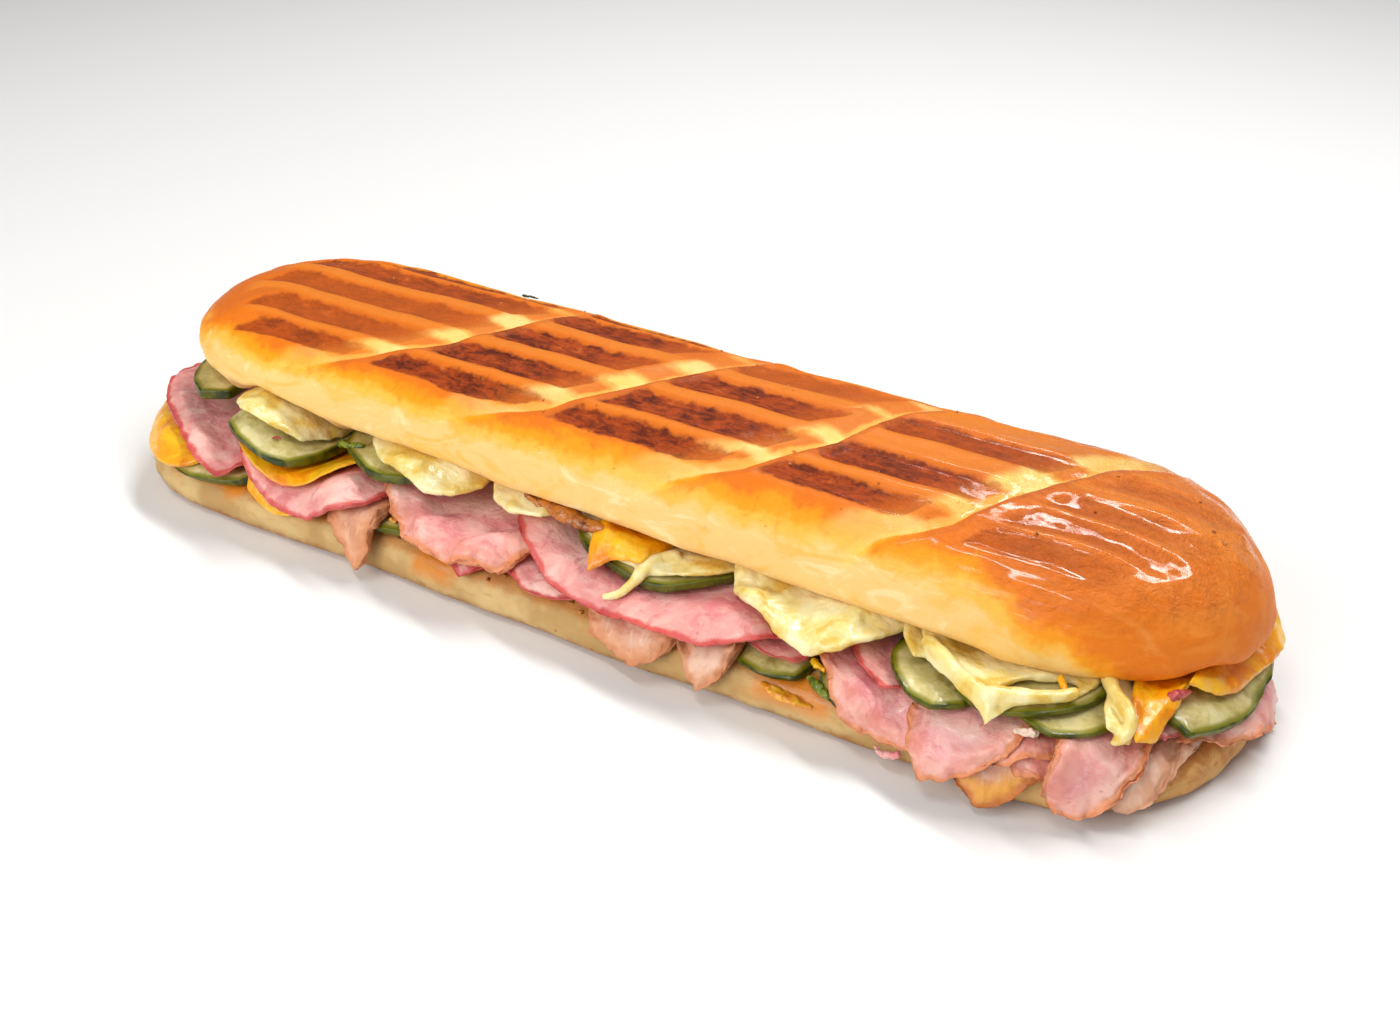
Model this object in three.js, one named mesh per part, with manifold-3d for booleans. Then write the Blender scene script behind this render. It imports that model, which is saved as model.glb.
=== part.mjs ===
// A hot pressed sandwich on a long roll: a grill-marked top half, a flat bottom half, and between
// them sliced ham, roast pork, two cheeses and pickles, whose rims hang out of the long sides.
// Millimetres. +X runs along the roll, -Y is the side that shows its fillings most, +Z is up.
// The origin is the middle of the bottom half's flat underside.

import * as THREE from 'three';
import Module from 'manifold-3d';

const wasm = await Module();
wasm.setup();

// ---------------------------------------------------------------- driving dimensions

const BASE_HALF_SPINE = 104;   // the bottom half is a stadium: straight middle, round ends
const BASE_RADIUS = 42;
const BASE_HEIGHT = 11;        // its cut face lies at this height
const TOP_CENTRE = { x: 5, y: 7 };    // the top half has slid back and to the right
const TOP_HALF_LENGTH = 139.5;
const TOP_HALF_WIDTH = 36.4;
const TOP_END_LENGTH = 42.5;   // length of each rounded end
const TOP_END_POWER = 1.9;     // 2 would be an ellipse
const CROWN_HEIGHT = 45.6;      // highest point of the crust
const LIP_HEIGHT = 26.3;       // lower edge of the crust at mid length
const LIP_FALL = 5.4;          // it falls by this much from the middle to the right end
const SHOULDER_POWER = 0.65;   // how boxy the pressed section is
const SLICE_GAP = 0.32;        // air between neighbouring layers where they lie flat
const FRINGE_GAP = 0.5;        // and where they bend over the roll's edge
const BEND_START = 37;         // layers start to bend this far from the roll's spine
const BEND_RADIUS = 5.9;       // radius of the roll's edge under them
const FLAT_REACH = 33;         // rows of a slice closer to the spine than this stay coarse
const ROW_STEP = 6;            // spacing of a slice's rows in its rims
const COLUMN_STEP = 7;         // and of its columns, along the rims
const PRESSED_BY = 0.16;       // the press took this share of the stack's height off its right half
const PRESSED_FROM = -20;      // x where that starts, and where it is in full
const PRESSED_TO = 55;
const SETTLE_SWEEPS = 3;       // how often the corners of a slice are let down on what lies below
const SETTLE_SLACK = 0.05;     // and how much closer than its gap each may then come
const DROOP_END = 46;          // a lifted slice droops to what is below it by this reach
const DROOP_LENGTH = 14;
const END_ROWS = 3;            // rows across the middle of a slice at a rounded end of the roll
const SLASH_WIDTH = 7;         // the baker's diagonal cuts, opened and pale
const SLASH_DEPTH = 1.6;
const STRIPE_WIDTH = 7;        // bars pressed in by the grill
const STRIPE_DEPTH = 0.8;
const GROOVE_RISE = 1.5;       // how far a pressing tool reaches out of the crust

// ---------------------------------------------------------------- materials

const finishes = {
  crust: { color: 0xc8722c, roughness: 0.42 },
  bread: { color: 0xd9b57c, roughness: 0.8 },
  ham: { color: 0xdc8c92, roughness: 0.5 },
  pork: { color: 0xd6a688, roughness: 0.6 },
  cheddar: { color: 0xf3ab20, roughness: 0.4 },
  melt: { color: 0xeee3ac, roughness: 0.35 },
  pickle: { color: 0x7a8032, roughness: 0.35 },
};

// ---------------------------------------------------------------- small helpers

const clamp = (value, low, high) => Math.min(high, Math.max(low, value));
const mix = (a, b, t) => a + (b - a) * t;

// A repeatable stream of numbers from 0 to 1, one stream for each seed.
function randomFrom(seed) {
  let state = seed * 2654435761 % 4294967296;
  return () => {
    state = (1664525 * state + 1013904223) % 4294967296;
    return state / 4294967296;
  };
}

// A number that stays the same for a name, to seed its random stream.
const seedOf = (name) => [...name].reduce((sum, letter) => sum * 31 + letter.charCodeAt(0), 7) % 99991;

// An even sampling of a smooth curve through the given [x, y] points.
function smoothLine(points, count) {
  const corners = points.map(([x, y]) => new THREE.Vector3(x, y, 0));
  return new THREE.CatmullRomCurve3(corners, false, 'centripetal').getSpacedPoints(count - 1);
}

function lineLength(points) {
  const corners = points.map(([x, y]) => new THREE.Vector3(x, y, 0));
  return new THREE.CatmullRomCurve3(corners, false, 'centripetal').getLength();
}

function geometryFrom(vertices, faces) {
  const geometry = new THREE.BufferGeometry();
  geometry.setAttribute('position', new THREE.Float32BufferAttribute(vertices.flat(), 3));
  geometry.setIndex(faces.flat());
  return geometry;
}

const group = new THREE.Group();

function addMesh(name, finish, geometry) {
  const material = new THREE.MeshStandardMaterial({ ...finishes[finish], metalness: 0 });
  const mesh = new THREE.Mesh(geometry, material);
  mesh.name = name;
  group.add(mesh);
}

// ---------------------------------------------------------------- height maps

// A height map keeps the highest surface laid so far. Triangles are written into it and tested
// against it on a 1 mm grid, so that what is laid later lies on what is already there.
class HeightMap {
  constructor(halfX, halfY, ground) {
    this.halfX = halfX;
    this.halfY = halfY;
    this.columns = 2 * halfX + 1;
    this.rows = 2 * halfY + 1;
    this.heights = new Float32Array(this.columns * this.rows).fill(ground);
  }

  at(column, row) {
    return this.heights[row * this.columns + column];
  }

  // The highest value within one cell of a place.
  highestNear(x, y) {
    const column = Math.round(x + this.halfX);
    const row = Math.round(y + this.halfY);
    let highest = -Infinity;
    for (let r = row - 1; r <= row + 1; r += 1) {
      for (let c = column - 1; c <= column + 1; c += 1) {
        highest = Math.max(highest, this.at(c, r));
      }
    }
    return highest;
  }

  // Calls visit(column, row, weights) for every grid point inside a triangle seen from above.
  eachPoint([a, b, c], visit) {
    const area = (b[0] - a[0]) * (c[1] - a[1]) - (c[0] - a[0]) * (b[1] - a[1]);
    if (Math.abs(area) < 1e-9) return;
    const slack = -1e-3;
    const firstRow = Math.ceil(Math.min(a[1], b[1], c[1]) + this.halfY - 0.01);
    const lastRow = Math.floor(Math.max(a[1], b[1], c[1]) + this.halfY + 0.01);
    const firstColumn = Math.ceil(Math.min(a[0], b[0], c[0]) + this.halfX - 0.01);
    const lastColumn = Math.floor(Math.max(a[0], b[0], c[0]) + this.halfX + 0.01);
    for (let row = firstRow; row <= lastRow; row += 1) {
      for (let column = firstColumn; column <= lastColumn; column += 1) {
        const x = column - this.halfX;
        const y = row - this.halfY;
        const wb = ((x - a[0]) * (c[1] - a[1]) - (c[0] - a[0]) * (y - a[1])) / area;
        const wc = ((b[0] - a[0]) * (y - a[1]) - (x - a[0]) * (b[1] - a[1])) / area;
        const wa = 1 - wb - wc;
        if (wa > slack && wb > slack && wc > slack) visit(column, row, [wa, wb, wc]);
      }
    }
    this.eachEdgePoint([a, b, c], visit);
  }

  // The same along the triangle's edges, because a sliver can lie between the grid's points.
  eachEdgePoint(corners, visit) {
    corners.forEach((start, k) => {
      const end = corners[(k + 1) % 3];
      const steps = Math.ceil(Math.hypot(end[0] - start[0], end[1] - start[1]) / 0.7);
      for (let step = 0; step <= steps; step += 1) {
        const weights = [0, 0, 0];
        weights[k] = 1 - step / steps;
        weights[(k + 1) % 3] = step / steps;
        const column = Math.round(mix(start[0], end[0], step / steps) + this.halfX);
        const row = Math.round(mix(start[1], end[1], step / steps) + this.halfY);
        visit(column, row, weights);
      }
    });
  }

  // Raises the map to a surface of triangles, one cell wider than the surface itself.
  cover(points, faces) {
    for (const face of faces) {
      const corners = face.map((k) => points[k]);
      this.eachPoint(corners, (column, row, weights) => {
        const height = weights.reduce((sum, weight, k) => sum + weight * corners[k][2], 0);
        for (let r = row - 1; r <= row + 1; r += 1) {
          for (let c = column - 1; c <= column + 1; c += 1) {
            const place = r * this.columns + c;
            this.heights[place] = Math.max(this.heights[place], height);
          }
        }
      });
    }
  }

  // Lifts the corners of a surface until all of it lies above the map by at least the gap, and then
  // lowers them again, one by one, as far as what lies under them allows.
  settle(points, faces, gapAt) {
    const planned = points.map((point) => point[2]);
    const used = new Set(faces.flat());
    points.forEach((point, k) => {
      if (!used.has(k)) return;
      point[2] = Math.max(point[2], this.highestNear(point[0], point[1]) + gapAt(point));
    });
    for (const face of faces) {
      const corners = face.map((k) => points[k]);
      this.eachPoint(corners, (column, row, weights) => {
        const height = weights.reduce((sum, weight, k) => sum + weight * corners[k][2], 0);
        const missing = this.at(column, row) + gapAt(corners[0]) - height;
        if (missing <= 0) return;
        const share = missing / weights.reduce((sum, weight) => sum + weight * weight, 0);
        corners.forEach((corner, k) => { corner[2] += share * weights[k]; });
      });
    }
    for (let sweep = 0; sweep < SETTLE_SWEEPS; sweep += 1) this.lower(points, faces, gapAt, planned);
  }

  lower(points, faces, gapAt, planned) {
    const around = points.map(() => []);
    for (const face of faces) face.forEach((k) => around[k].push(face));
    points.forEach((point, k) => {
      if (around[k].length === 0) return;
      let room = point[2] - this.highestNear(point[0], point[1]) - gapAt(point);
      for (const face of around[k]) {
        const corners = face.map((n) => points[n]);
        const own = face.indexOf(k);
        this.eachPoint(corners, (column, row, weights) => {
          if (weights[own] < 0.02) return;
          const height = weights.reduce((sum, weight, n) => sum + weight * corners[n][2], 0);
          const spare = height - this.at(column, row) - gapAt(corners[0]);
          room = Math.min(room, (spare + SETTLE_SLACK) / weights[own]);
        });
      }
      point[2] -= clamp(room, 0, Math.max(0, point[2] - planned[k]));
    });
  }
}

// ---------------------------------------------------------------- the bottom half

// A body made of closed rings of equal length. Each ring runs along the front to the right, round
// the right end and back, so point k and its mirror point face each other across the spine, and
// the first and last rings are closed by strips between them.
function ringBody(rings) {
  const count = rings[0].length;
  const vertices = rings.flat();
  const faces = [];
  for (let ring = 0; ring + 1 < rings.length; ring += 1) {
    for (let k = 0; k < count; k += 1) {
      const a = ring * count + k;
      const b = ring * count + (k + 1) % count;
      faces.push([a, b, b + count], [a, b + count, a + count]);
    }
  }
  const lastStart = (rings.length - 1) * count;
  for (let k = 0; k < count / 2 - 1; k += 1) {
    const mirror = count - 1 - k;
    faces.push([lastStart + k, lastStart + k + 1, lastStart + mirror - 1]);
    faces.push([lastStart + k, lastStart + mirror - 1, lastStart + mirror]);
    faces.push([k + 1, k, mirror], [k + 1, mirror, mirror - 1]);
  }
  return { vertices, faces };
}

// One ring round a long shape: straight sides, and ends that are a power curve.
function ringAround({ halfLength, halfWidth, endLength, power }, sidePoints, endPoints, heightAt) {
  const half = [];
  const straight = halfLength - endLength;
  for (let k = 0; k < endPoints; k += 1) {
    const angle = Math.PI / 2 * (k + 0.5) / endPoints;
    const along = Math.cos(angle) ** (2 / power);
    const across = Math.sin(angle) ** (2 / power);
    half.push([-straight - endLength * along, -halfWidth * across]);
  }
  for (let k = 0; k <= sidePoints; k += 1) {
    half.push([mix(-straight, straight, k / sidePoints), -halfWidth]);
  }
  for (let k = endPoints - 1; k >= 0; k -= 1) {
    half.push([-half[k][0], half[k][1]]);
  }
  const back = half.map(([x, y]) => [x, -y]).reverse();
  return [...half, ...back].map(([x, y]) => [x, y, heightAt(x, y)]);
}

function stadiumRing(inset, height) {
  const shape = {
    halfLength: BASE_HALF_SPINE + BASE_RADIUS - inset,
    halfWidth: BASE_RADIUS - inset,
    endLength: BASE_RADIUS - inset,
    power: 2,
  };
  const wander = (x, y) => 1 + 0.012 * Math.sin(x / 19 + 1) + 0.01 * Math.sin(x / 8.3 + y / 30);
  return ringAround(shape, 14, 7, () => height)
    .map(([x, y, z]) => [x, y * wander(x, y), z]);
}

// [how far inside the widest line, height], from the underside up to the cut face
const baseProfile = [
  [5.2, 0], [2.4, 0.5], [1.2, 2.2], [0.7, 5], [1.2, 7.6], [2.7, 9.6], [5.6, 10.8], [12, BASE_HEIGHT],
];

function buildBottomHalf() {
  const rings = baseProfile.map(([inset, height]) => stadiumRing(inset, height));
  const { vertices, faces } = ringBody(rings);
  addMesh('bottom_bread', 'bread', geometryFrom(vertices, faces));
}

// ---------------------------------------------------------------- the fillings

const reachFromSpine = (x, y) => Math.hypot(x - clamp(x, -BASE_HALF_SPINE, BASE_HALF_SPINE), y);

// The share of its height that the stack keeps at x.
const keptShareAt = (x) => 1 - PRESSED_BY * THREE.MathUtils.smoothstep(x, PRESSED_FROM, PRESSED_TO);

// Fillings are laid flat first, as if the roll's edge were unrolled: x and y on the cut face and
// beyond it, and a height over the face. This bends such a point down over the roll's edge.
function bendOverEdge([x, y, looseHeight]) {
  const height = looseHeight * keptShareAt(x);
  const spineX = clamp(x, -BASE_HALF_SPINE, BASE_HALF_SPINE);
  const reach = reachFromSpine(x, y);
  const beyond = reach - BEND_START;
  if (beyond <= 0) return [x, y, BASE_HEIGHT + height];
  const steepest = Math.max(THREE.MathUtils.degToRad(30), THREE.MathUtils.degToRad(76 - 2 * height));
  const turnLength = 12;
  const turn = Math.min(beyond / turnLength, steepest);
  const radius = BEND_RADIUS + height;
  const straight = beyond - turn * turnLength;
  const outward = BEND_START + radius * Math.sin(turn) + straight * Math.cos(turn);
  const drop = BEND_RADIUS - radius * Math.cos(turn) + straight * Math.sin(turn);
  const scale = outward / reach;
  return [spineX + (x - spineX) * scale, y * scale, BASE_HEIGHT - drop];
}

// How far the cut face reaches to the front or back at x before its edge starts to bend.
function flatReachAt(x) {
  const past = Math.abs(x) - BASE_HALF_SPINE;
  if (past <= 0) return FLAT_REACH;
  return Math.sqrt(Math.max(0, FLAT_REACH ** 2 - past ** 2));
}

// The far rim of a slice is like its near one, mirrored, with a wander of its own.
function mirroredRim(near, name) {
  const random = randomFrom(seedOf(name));
  const slide = 9 * (random() - 0.5);
  return near.map(([x, y]) => [x + slide, -y * mix(0.88, 1.04, random())]);
}

// Shares of a slice's thickness at its rims, at its two other edges and in the middle of the roll,
// where the press has squeezed it, and how high and long the ruffles of its rims are.
const habits = {
  ham: { rim: 0.7, side: 1, middle: 0.7, ruffle: 0.9, wave: 19 },
  pork: { rim: 0.75, side: 1, middle: 0.6, ruffle: 0.5, wave: 25 },
  cheddar: { rim: 0.6, side: 0.7, middle: 0.45, ruffle: 0, wave: 20 },
  melt: { rim: 0.5, side: 0.5, middle: 0.4, ruffle: 0, wave: 20 },
  pickle: { rim: 0.85, side: 0.85, middle: 0.5, ruffle: 0, wave: 20 },
};

const laid = new HeightMap(190, 90, 0);       // over the unrolled cut face
const under = new HeightMap(190, 90, 0);      // the same fillings after bending, for the top half

// Lays one slice on what is already there. near and far are its rims on the two long sides, and
// lift is how high the filling under it holds it inside the roll, away from its drooping rims.
function laySlice({ name, kind, near, far, thickness, lift = 0 }) {
  const habit = habits[kind];
  const nearRim = near;
  const farRim = far ?? mirroredRim(near, name);
  const columns = clamp(Math.round(lineLength(nearRim) / COLUMN_STEP) + 1, 5, 12);
  const nearLine = smoothLine(nearRim, columns);
  const farLine = smoothLine(farRim, columns);
  const deepest = Math.max(...nearRim.map(([, y]) => -y));
  const fringeRows = clamp(Math.ceil((deepest - FLAT_REACH) / ROW_STEP), 1, 4);
  const roundsAnEnd = nearRim.some(([x]) => Math.abs(x) > BASE_HALF_SPINE + 0.6 * BASE_RADIUS);
  const middleRows = roundsAnEnd ? END_ROWS : 1;
  const rowCount = 2 * (fringeRows + 1) + middleRows;

  const rowAt = (start, end) => {
    const past = Math.abs((start.x + end.x) / 2) - BASE_HALF_SPINE;
    const along = (share) => [mix(start.x, end.x, share), mix(start.y, end.y, share), 0];
    if (past > 0.6 * BASE_RADIUS) {
      return Array.from({ length: rowCount }, (_, row) => along(row / (rowCount - 1)));
    }
    const nearInner = -Math.min(flatReachAt(start.x), 0.8 * Math.abs(start.y));
    const farInner = Math.min(flatReachAt(end.x), 0.8 * Math.abs(end.y));
    const span = end.y - start.y;
    const nearShare = (nearInner - start.y) / span;
    const farShare = (end.y - farInner) / span;
    const shares = [];
    for (let row = 0; row <= fringeRows; row += 1) shares.push(nearShare * row / fringeRows);
    for (let row = 1; row <= middleRows; row += 1) {
      shares.push(mix(nearShare, 1 - farShare, row / (middleRows + 1)));
    }
    for (let row = fringeRows; row >= 0; row -= 1) shares.push(1 - farShare * row / fringeRows);
    return shares.map(along);
  };

  const bottom = [];
  for (let column = 0; column < columns; column += 1) {
    bottom.push(...rowAt(nearLine[column], farLine[column]));
  }
  for (const point of bottom) {
    point[2] = lift * clamp((DROOP_END - reachFromSpine(point[0], point[1])) / DROOP_LENGTH, 0, 1);
  }
  const topFaces = [];
  for (let column = 0; column + 1 < columns; column += 1) {
    for (let row = 0; row + 1 < rowCount; row += 1) {
      const a = column * rowCount + row;
      const b = a + rowCount;
      topFaces.push([a, b, b + 1], [a, b + 1, a + 1]);
    }
  }

  const phase = 6.28 * randomFrom(seedOf(name) + 1)();
  const ruffleAt = (x, y) => {
    const fringe = clamp((Math.abs(y) - 26) / 12, 0, 1);
    return habit.ruffle * fringe * Math.max(0, Math.sin(2 * Math.PI * x / habit.wave + phase));
  };
  const gapAt = ([x, y]) => (reachFromSpine(x, y) > FLAT_REACH ? FRINGE_GAP : SLICE_GAP) / keptShareAt(x);
  laid.settle(bottom, topFaces, gapAt);
  for (const point of bottom) point[2] += ruffleAt(point[0], point[1]);

  const top = bottom.map(([x, y, z], k) => {
    const row = k % rowCount;
    const column = Math.floor(k / rowCount);
    const rim = row === 0 || row === rowCount - 1 ? habit.rim : 1;
    const side = column === 0 || column === columns - 1 ? habit.side : 1;
    const middle = row > fringeRows && row < rowCount - 1 - fringeRows ? habit.middle : 1;
    return [x, y, z + thickness * rim * side * middle];
  });
  laid.cover(top, topFaces);

  const count = bottom.length;
  const vertices = [...bottom, ...top].map(bendOverEdge);
  const faces = topFaces.map(([a, b, c]) => [a + count, b + count, c + count]);
  faces.push(...topFaces.map(([a, b, c]) => [a, c, b]));
  const edge = [];
  for (let column = 0; column < columns; column += 1) edge.push(column * rowCount);
  for (let row = 1; row < rowCount; row += 1) edge.push((columns - 1) * rowCount + row);
  for (let column = columns - 2; column >= 0; column -= 1) edge.push(column * rowCount + rowCount - 1);
  for (let row = rowCount - 2; row > 0; row -= 1) edge.push(row);
  edge.forEach((a, k) => {
    const b = edge[(k + 1) % edge.length];
    faces.push([a, b, b + count], [a, b + count, a + count]);
  });
  under.cover(vertices.slice(count), topFaces);
  addMesh(name, kind, geometryFrom(vertices, faces));
}

// Near rims, [x, y] on the unrolled face, in the order in which the slices were laid.
const fillings = [
  // long slices of pickle on the bread
  { name: 'pickle_low_a', kind: 'pickle', thickness: 2.6,
    near: [[-120, -34], [-116, -42], [-104, -46], [-92, -43], [-87, -35]] },
  { name: 'pickle_low_b', kind: 'pickle', thickness: 2.4,
    near: [[-63, -30], [-59, -37], [-50, -41], [-41, -39.5], [-36, -32]] },
  { name: 'pickle_low_c', kind: 'pickle', thickness: 2.0,
    near: [[47, -34], [50, -42], [57, -45], [63, -42], [65, -35]] },
  { name: 'pickle_low_d', kind: 'pickle', thickness: 2.6,
    near: [[67, -36], [69, -43], [73, -46], [78, -43], [80, -36]] },

  // roast pork, its scraps hanging lowest
  { name: 'pork_a', kind: 'pork', thickness: 2,
    near: [[-62, -40], [-59, -46], [-54, -52], [-49, -57], [-46.5, -51], [-46, -44], [-45, -37]] },
  { name: 'pork_b', kind: 'pork', thickness: 1.9,
    near: [[12, -37], [14, -45], [14.5, -51], [18, -50], [21, -54.5],
           [28, -54.5], [33, -51], [34.5, -44], [35, -37]] },
  { name: 'pork_c', kind: 'pork', thickness: 1.9,
    near: [[36.5, -37], [37, -45], [40, -55.5], [44, -54], [47.5, -50], [49, -44], [49.5, -37]] },
  { name: 'pork_d', kind: 'pork', thickness: 1.2,
    near: [[95, -42], [99, -51], [103, -57], [109, -58], [113, -54], [116, -48], [117, -41]] },
  { name: 'pork_e', kind: 'pork', thickness: 1.4,
    near: [[127, -36], [129, -43], [133, -46], [138, -43.5], [142, -38], [140, -30], [137, -22]],
    far: [[127, 32], [129, 34], [132, 34], [135, 32], [138, 28], [140, 23], [141, 17]] },

  // cheddar under the ham
  { name: 'cheddar_a', kind: 'cheddar', thickness: 2.2, lift: 4,
    near: [[-137, -15], [-134, -27], [-129, -36], [-121, -42.5], [-113, -45], [-105, -43], [-100, -37]],
    far: [[-135, 6], [-133, 19], [-128, 28], [-121, 34], [-113, 38], [-105, 40], [-100, 36]] },
  { name: 'cheddar_c', kind: 'cheddar', thickness: 1.2,
    near: [[-89, -37], [-87, -43], [-82, -47], [-77, -48], [-71, -45.5], [-68, -39]] },

  // ham, from the lower torn slices to the upper folded ones
  { name: 'ham_d', kind: 'ham', thickness: 1.6, lift: 2,
    near: [[-30, -37], [-26, -42], [-19, -47.5], [-16, -42], [-11, -39],
           [-4, -44], [3, -45], [8, -42], [12, -35]] },
  { name: 'ham_a', kind: 'ham', thickness: 1.9, lift: 6,
    near: [[-139, -5], [-138, -14], [-130, -24], [-118, -32.5], [-108, -38.5],
           [-99, -43], [-94, -44], [-90, -40], [-88, -33]],
    far: [[-139, 4], [-136, 15], [-128, 25], [-119, 32], [-111, 37],
          [-105, 40], [-101, 41], [-99, 38], [-98, 32]] },
  { name: 'ham_b', kind: 'ham', thickness: 1.9, lift: 2,
    near: [[-93, -33], [-91, -38], [-85, -42], [-78, -45], [-70, -46],
           [-62, -45], [-54, -42], [-48, -36], [-46, -30]],
    far: [[-94, 33], [-91, 39], [-85, 43], [-78, 43], [-70, 45],
          [-62, 42], [-56, 41], [-50, 36], [-49, 30]] },
  { name: 'ham_f', kind: 'ham', thickness: 1.2,
    near: [[46, -32], [50, -38.5], [56, -40], [62, -39], [66, -35], [68, -28]] },
  { name: 'ham_j', kind: 'ham', thickness: 1.0,
    near: [[105, -35], [108, -44], [113, -48], [118, -46], [121, -41], [122, -34]] },
  { name: 'ham_c', kind: 'ham', thickness: 1.8, lift: 6,
    near: [[-54, -28], [-50, -32], [-44, -35], [-39, -42], [-30, -44],
           [-23, -45.5], [-14, -43], [-9, -42.5], [-7, -37], [-4, -30]] },
  { name: 'ham_h', kind: 'ham', thickness: 1.1,
    near: [[64, -31], [68, -38], [72, -44], [77, -49], [84, -52.5], [92, -51],
           [100, -50.5], [108, -47.5], [114, -43], [119, -37], [122, -29]] },
  { name: 'ham_l', kind: 'ham', thickness: 1.6,
    near: [[136, -23], [142, -19], [149, -12], [154, -3.5], [159, 3], [161.5, 10.5]],
    far: [[136, 30], [141, 28], [147, 26], [153, 23], [158, 20], [161, 16]] },
  { name: 'ham_e', kind: 'ham', thickness: 1.8,
    near: [[-17, -24], [-11, -31], [-4, -38], [3, -41.5], [10, -43], [20, -43.5],
           [32, -44], [43, -43.5], [52, -40.5], [58, -35], [60, -28]] },
  { name: 'ham_i', kind: 'ham', thickness: 1.0,
    near: [[88, -42], [90, -50.5], [93, -54.5], [99, -54], [105, -50.5], [109, -46], [111, -38]] },
  { name: 'ham_k', kind: 'ham', thickness: 1.1,
    near: [[116, -37], [116.5, -45], [118.5, -52], [123, -53], [127, -51.5],
           [130, -48], [132, -42], [133, -33], [131, -25]],
    far: [[116, 38], [118, 42], [120, 43], [123, 42], [125, 40],
          [128, 38], [131, 34], [133, 30], [133, 24]] },
  { name: 'ham_g', kind: 'ham', thickness: 1.3,
    near: [[66, -26], [71, -31.5], [75, -36], [80, -38.5], [84, -39], [87, -35], [88, -28]] },
  { name: 'ham_m', kind: 'ham', thickness: 1.0,
    near: [[129, -22], [132, -26], [135, -25], [137, -20]],
    far: [[129, 26], [132, 30], [135, 29], [138, 24]] },

  // cheddar over the ham
  { name: 'cheddar_b', kind: 'cheddar', thickness: 1.1,
    near: [[-95, -32], [-90, -38], [-80, -41], [-69, -39.5], [-61, -35], [-55, -28]] },

  // pickle slices under the top half
  { name: 'pickle_up_a', kind: 'pickle', thickness: 3.0, lift: 14,
    near: [[-125, -12], [-122, -20], [-117, -26], [-110, -29], [-105, -25]] },
  { name: 'pickle_up_b', kind: 'pickle', thickness: 2.8,
    near: [[-102, -24], [-100, -31], [-94, -36.5], [-85, -39.5], [-76, -39], [-71, -33], [-69, -25]] },
  { name: 'pickle_up_c', kind: 'pickle', thickness: 2.4, lift: 12,
    near: [[-67, -23], [-64, -29], [-57, -33], [-50, -35], [-42, -33.5], [-37, -27]] },
  { name: 'pickle_up_d', kind: 'pickle', thickness: 2.6,
    near: [[0, -25], [4, -30], [13, -33.5], [24, -34.5], [34, -32], [41, -26]] },
  { name: 'pickle_up_e', kind: 'pickle', thickness: 1.8,
    near: [[79, -30], [83, -37.5], [90, -41], [97, -40], [101, -33]] },
  { name: 'pickle_up_g', kind: 'pickle', thickness: 1.5,
    near: [[104, -32], [109, -38], [117, -38.5], [123, -33], [126, -25], [126, -17]],
    far: [[104, 33], [109, 37], [116, 36], [122, 30], [125, 22], [126, 14]] },
  { name: 'pickle_up_f', kind: 'pickle', thickness: 1.6,
    near: [[93, -31], [96, -37.5], [104, -40], [112, -37.5], [118, -31.5], [121, -24], [121, -17]],
    far: [[93, 32], [97, 37], [104, 39], [111, 37], [116, 32], [119, 25], [120, 16]] },
  { name: 'pickle_up_h', kind: 'pickle', thickness: 2.3,
    near: [[130, -15], [132, -22], [137, -24], [142, -18], [146, -9], [147.5, 1]],
    far: [[130, 22], [133, 26], [138, 26], [142, 22], [146, 17], [148, 10]] },

  // melted cheeses on the pickles, with blobs and drips
  { name: 'melt_a', kind: 'melt', thickness: 1.0,
    near: [[-98, -25], [-95, -31.5], [-88, -35.5], [-81, -35], [-76, -31], [-73, -25]] },
  { name: 'melt_b', kind: 'melt', thickness: 2.2, lift: 13,
    near: [[-60, -22], [-54, -29.5], [-46, -33], [-38, -34], [-30, -33], [-24, -27]] },
  { name: 'melt_c', kind: 'melt', thickness: 2.0, lift: 13,
    near: [[-23, -23], [-19, -29], [-12, -32], [-6, -31], [-2, -25]] },
  { name: 'melt_d', kind: 'melt', thickness: 1.7,
    near: [[0, -23], [6, -29], [15, -32.5], [26, -32], [37, -29], [43, -23]] },
  { name: 'melt_e', kind: 'melt', thickness: 1.9, lift: 12,
    near: [[41, -24], [45, -31], [51, -35], [58, -37], [66, -38.5], [73, -36], [77, -31.5], [79, -25]] },
  { name: 'melt_f', kind: 'melt', thickness: 1.4, lift: 11,
    near: [[79.5, -23], [82, -30], [87, -32], [91, -25]] },
  { name: 'melt_g', kind: 'melt', thickness: 1.0,
    near: [[84, -26], [88, -33], [95, -37.5], [100, -39], [104, -42.5],
           [107, -38], [113, -34.5], [118, -28], [119, -20]],
    far: [[84, 30], [89, 35], [95, 38], [100, 37], [104, 39], [108, 38], [113, 35], [118, 30], [120, 23]] },
  { name: 'melt_h', kind: 'melt', thickness: 0.9,
    near: [[121, -21], [122, -29], [124.5, -35], [127.5, -33], [127.5, -26], [127, -19]],
    far: [[121, 25], [122, 31], [124, 33], [127, 30], [128, 24], [128, 17]] },
  { name: 'cheddar_e', kind: 'cheddar', thickness: 1.3,
    near: [[7, -25], [9, -32], [13.5, -39.5], [16, -35.5], [22, -33], [24, -26]] },
  { name: 'cheddar_d', kind: 'cheddar', thickness: 1.2,
    near: [[125, -19], [127, -27.5], [129.5, -34], [132, -30], [133.5, -23], [134, -15]],
    far: [[125, 27], [127, 31], [130, 32], [132, 29], [134, 24], [134, 16]] },
  { name: 'cheddar_f', kind: 'cheddar', thickness: 1.3,
    near: [[134.5, -18], [138, -14], [141, -8], [143, 0], [145, 8]],
    far: [[134.5, 35], [138, 35], [142, 31], [146, 24], [146, 16]] },
];

// ---------------------------------------------------------------- the top half

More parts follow.
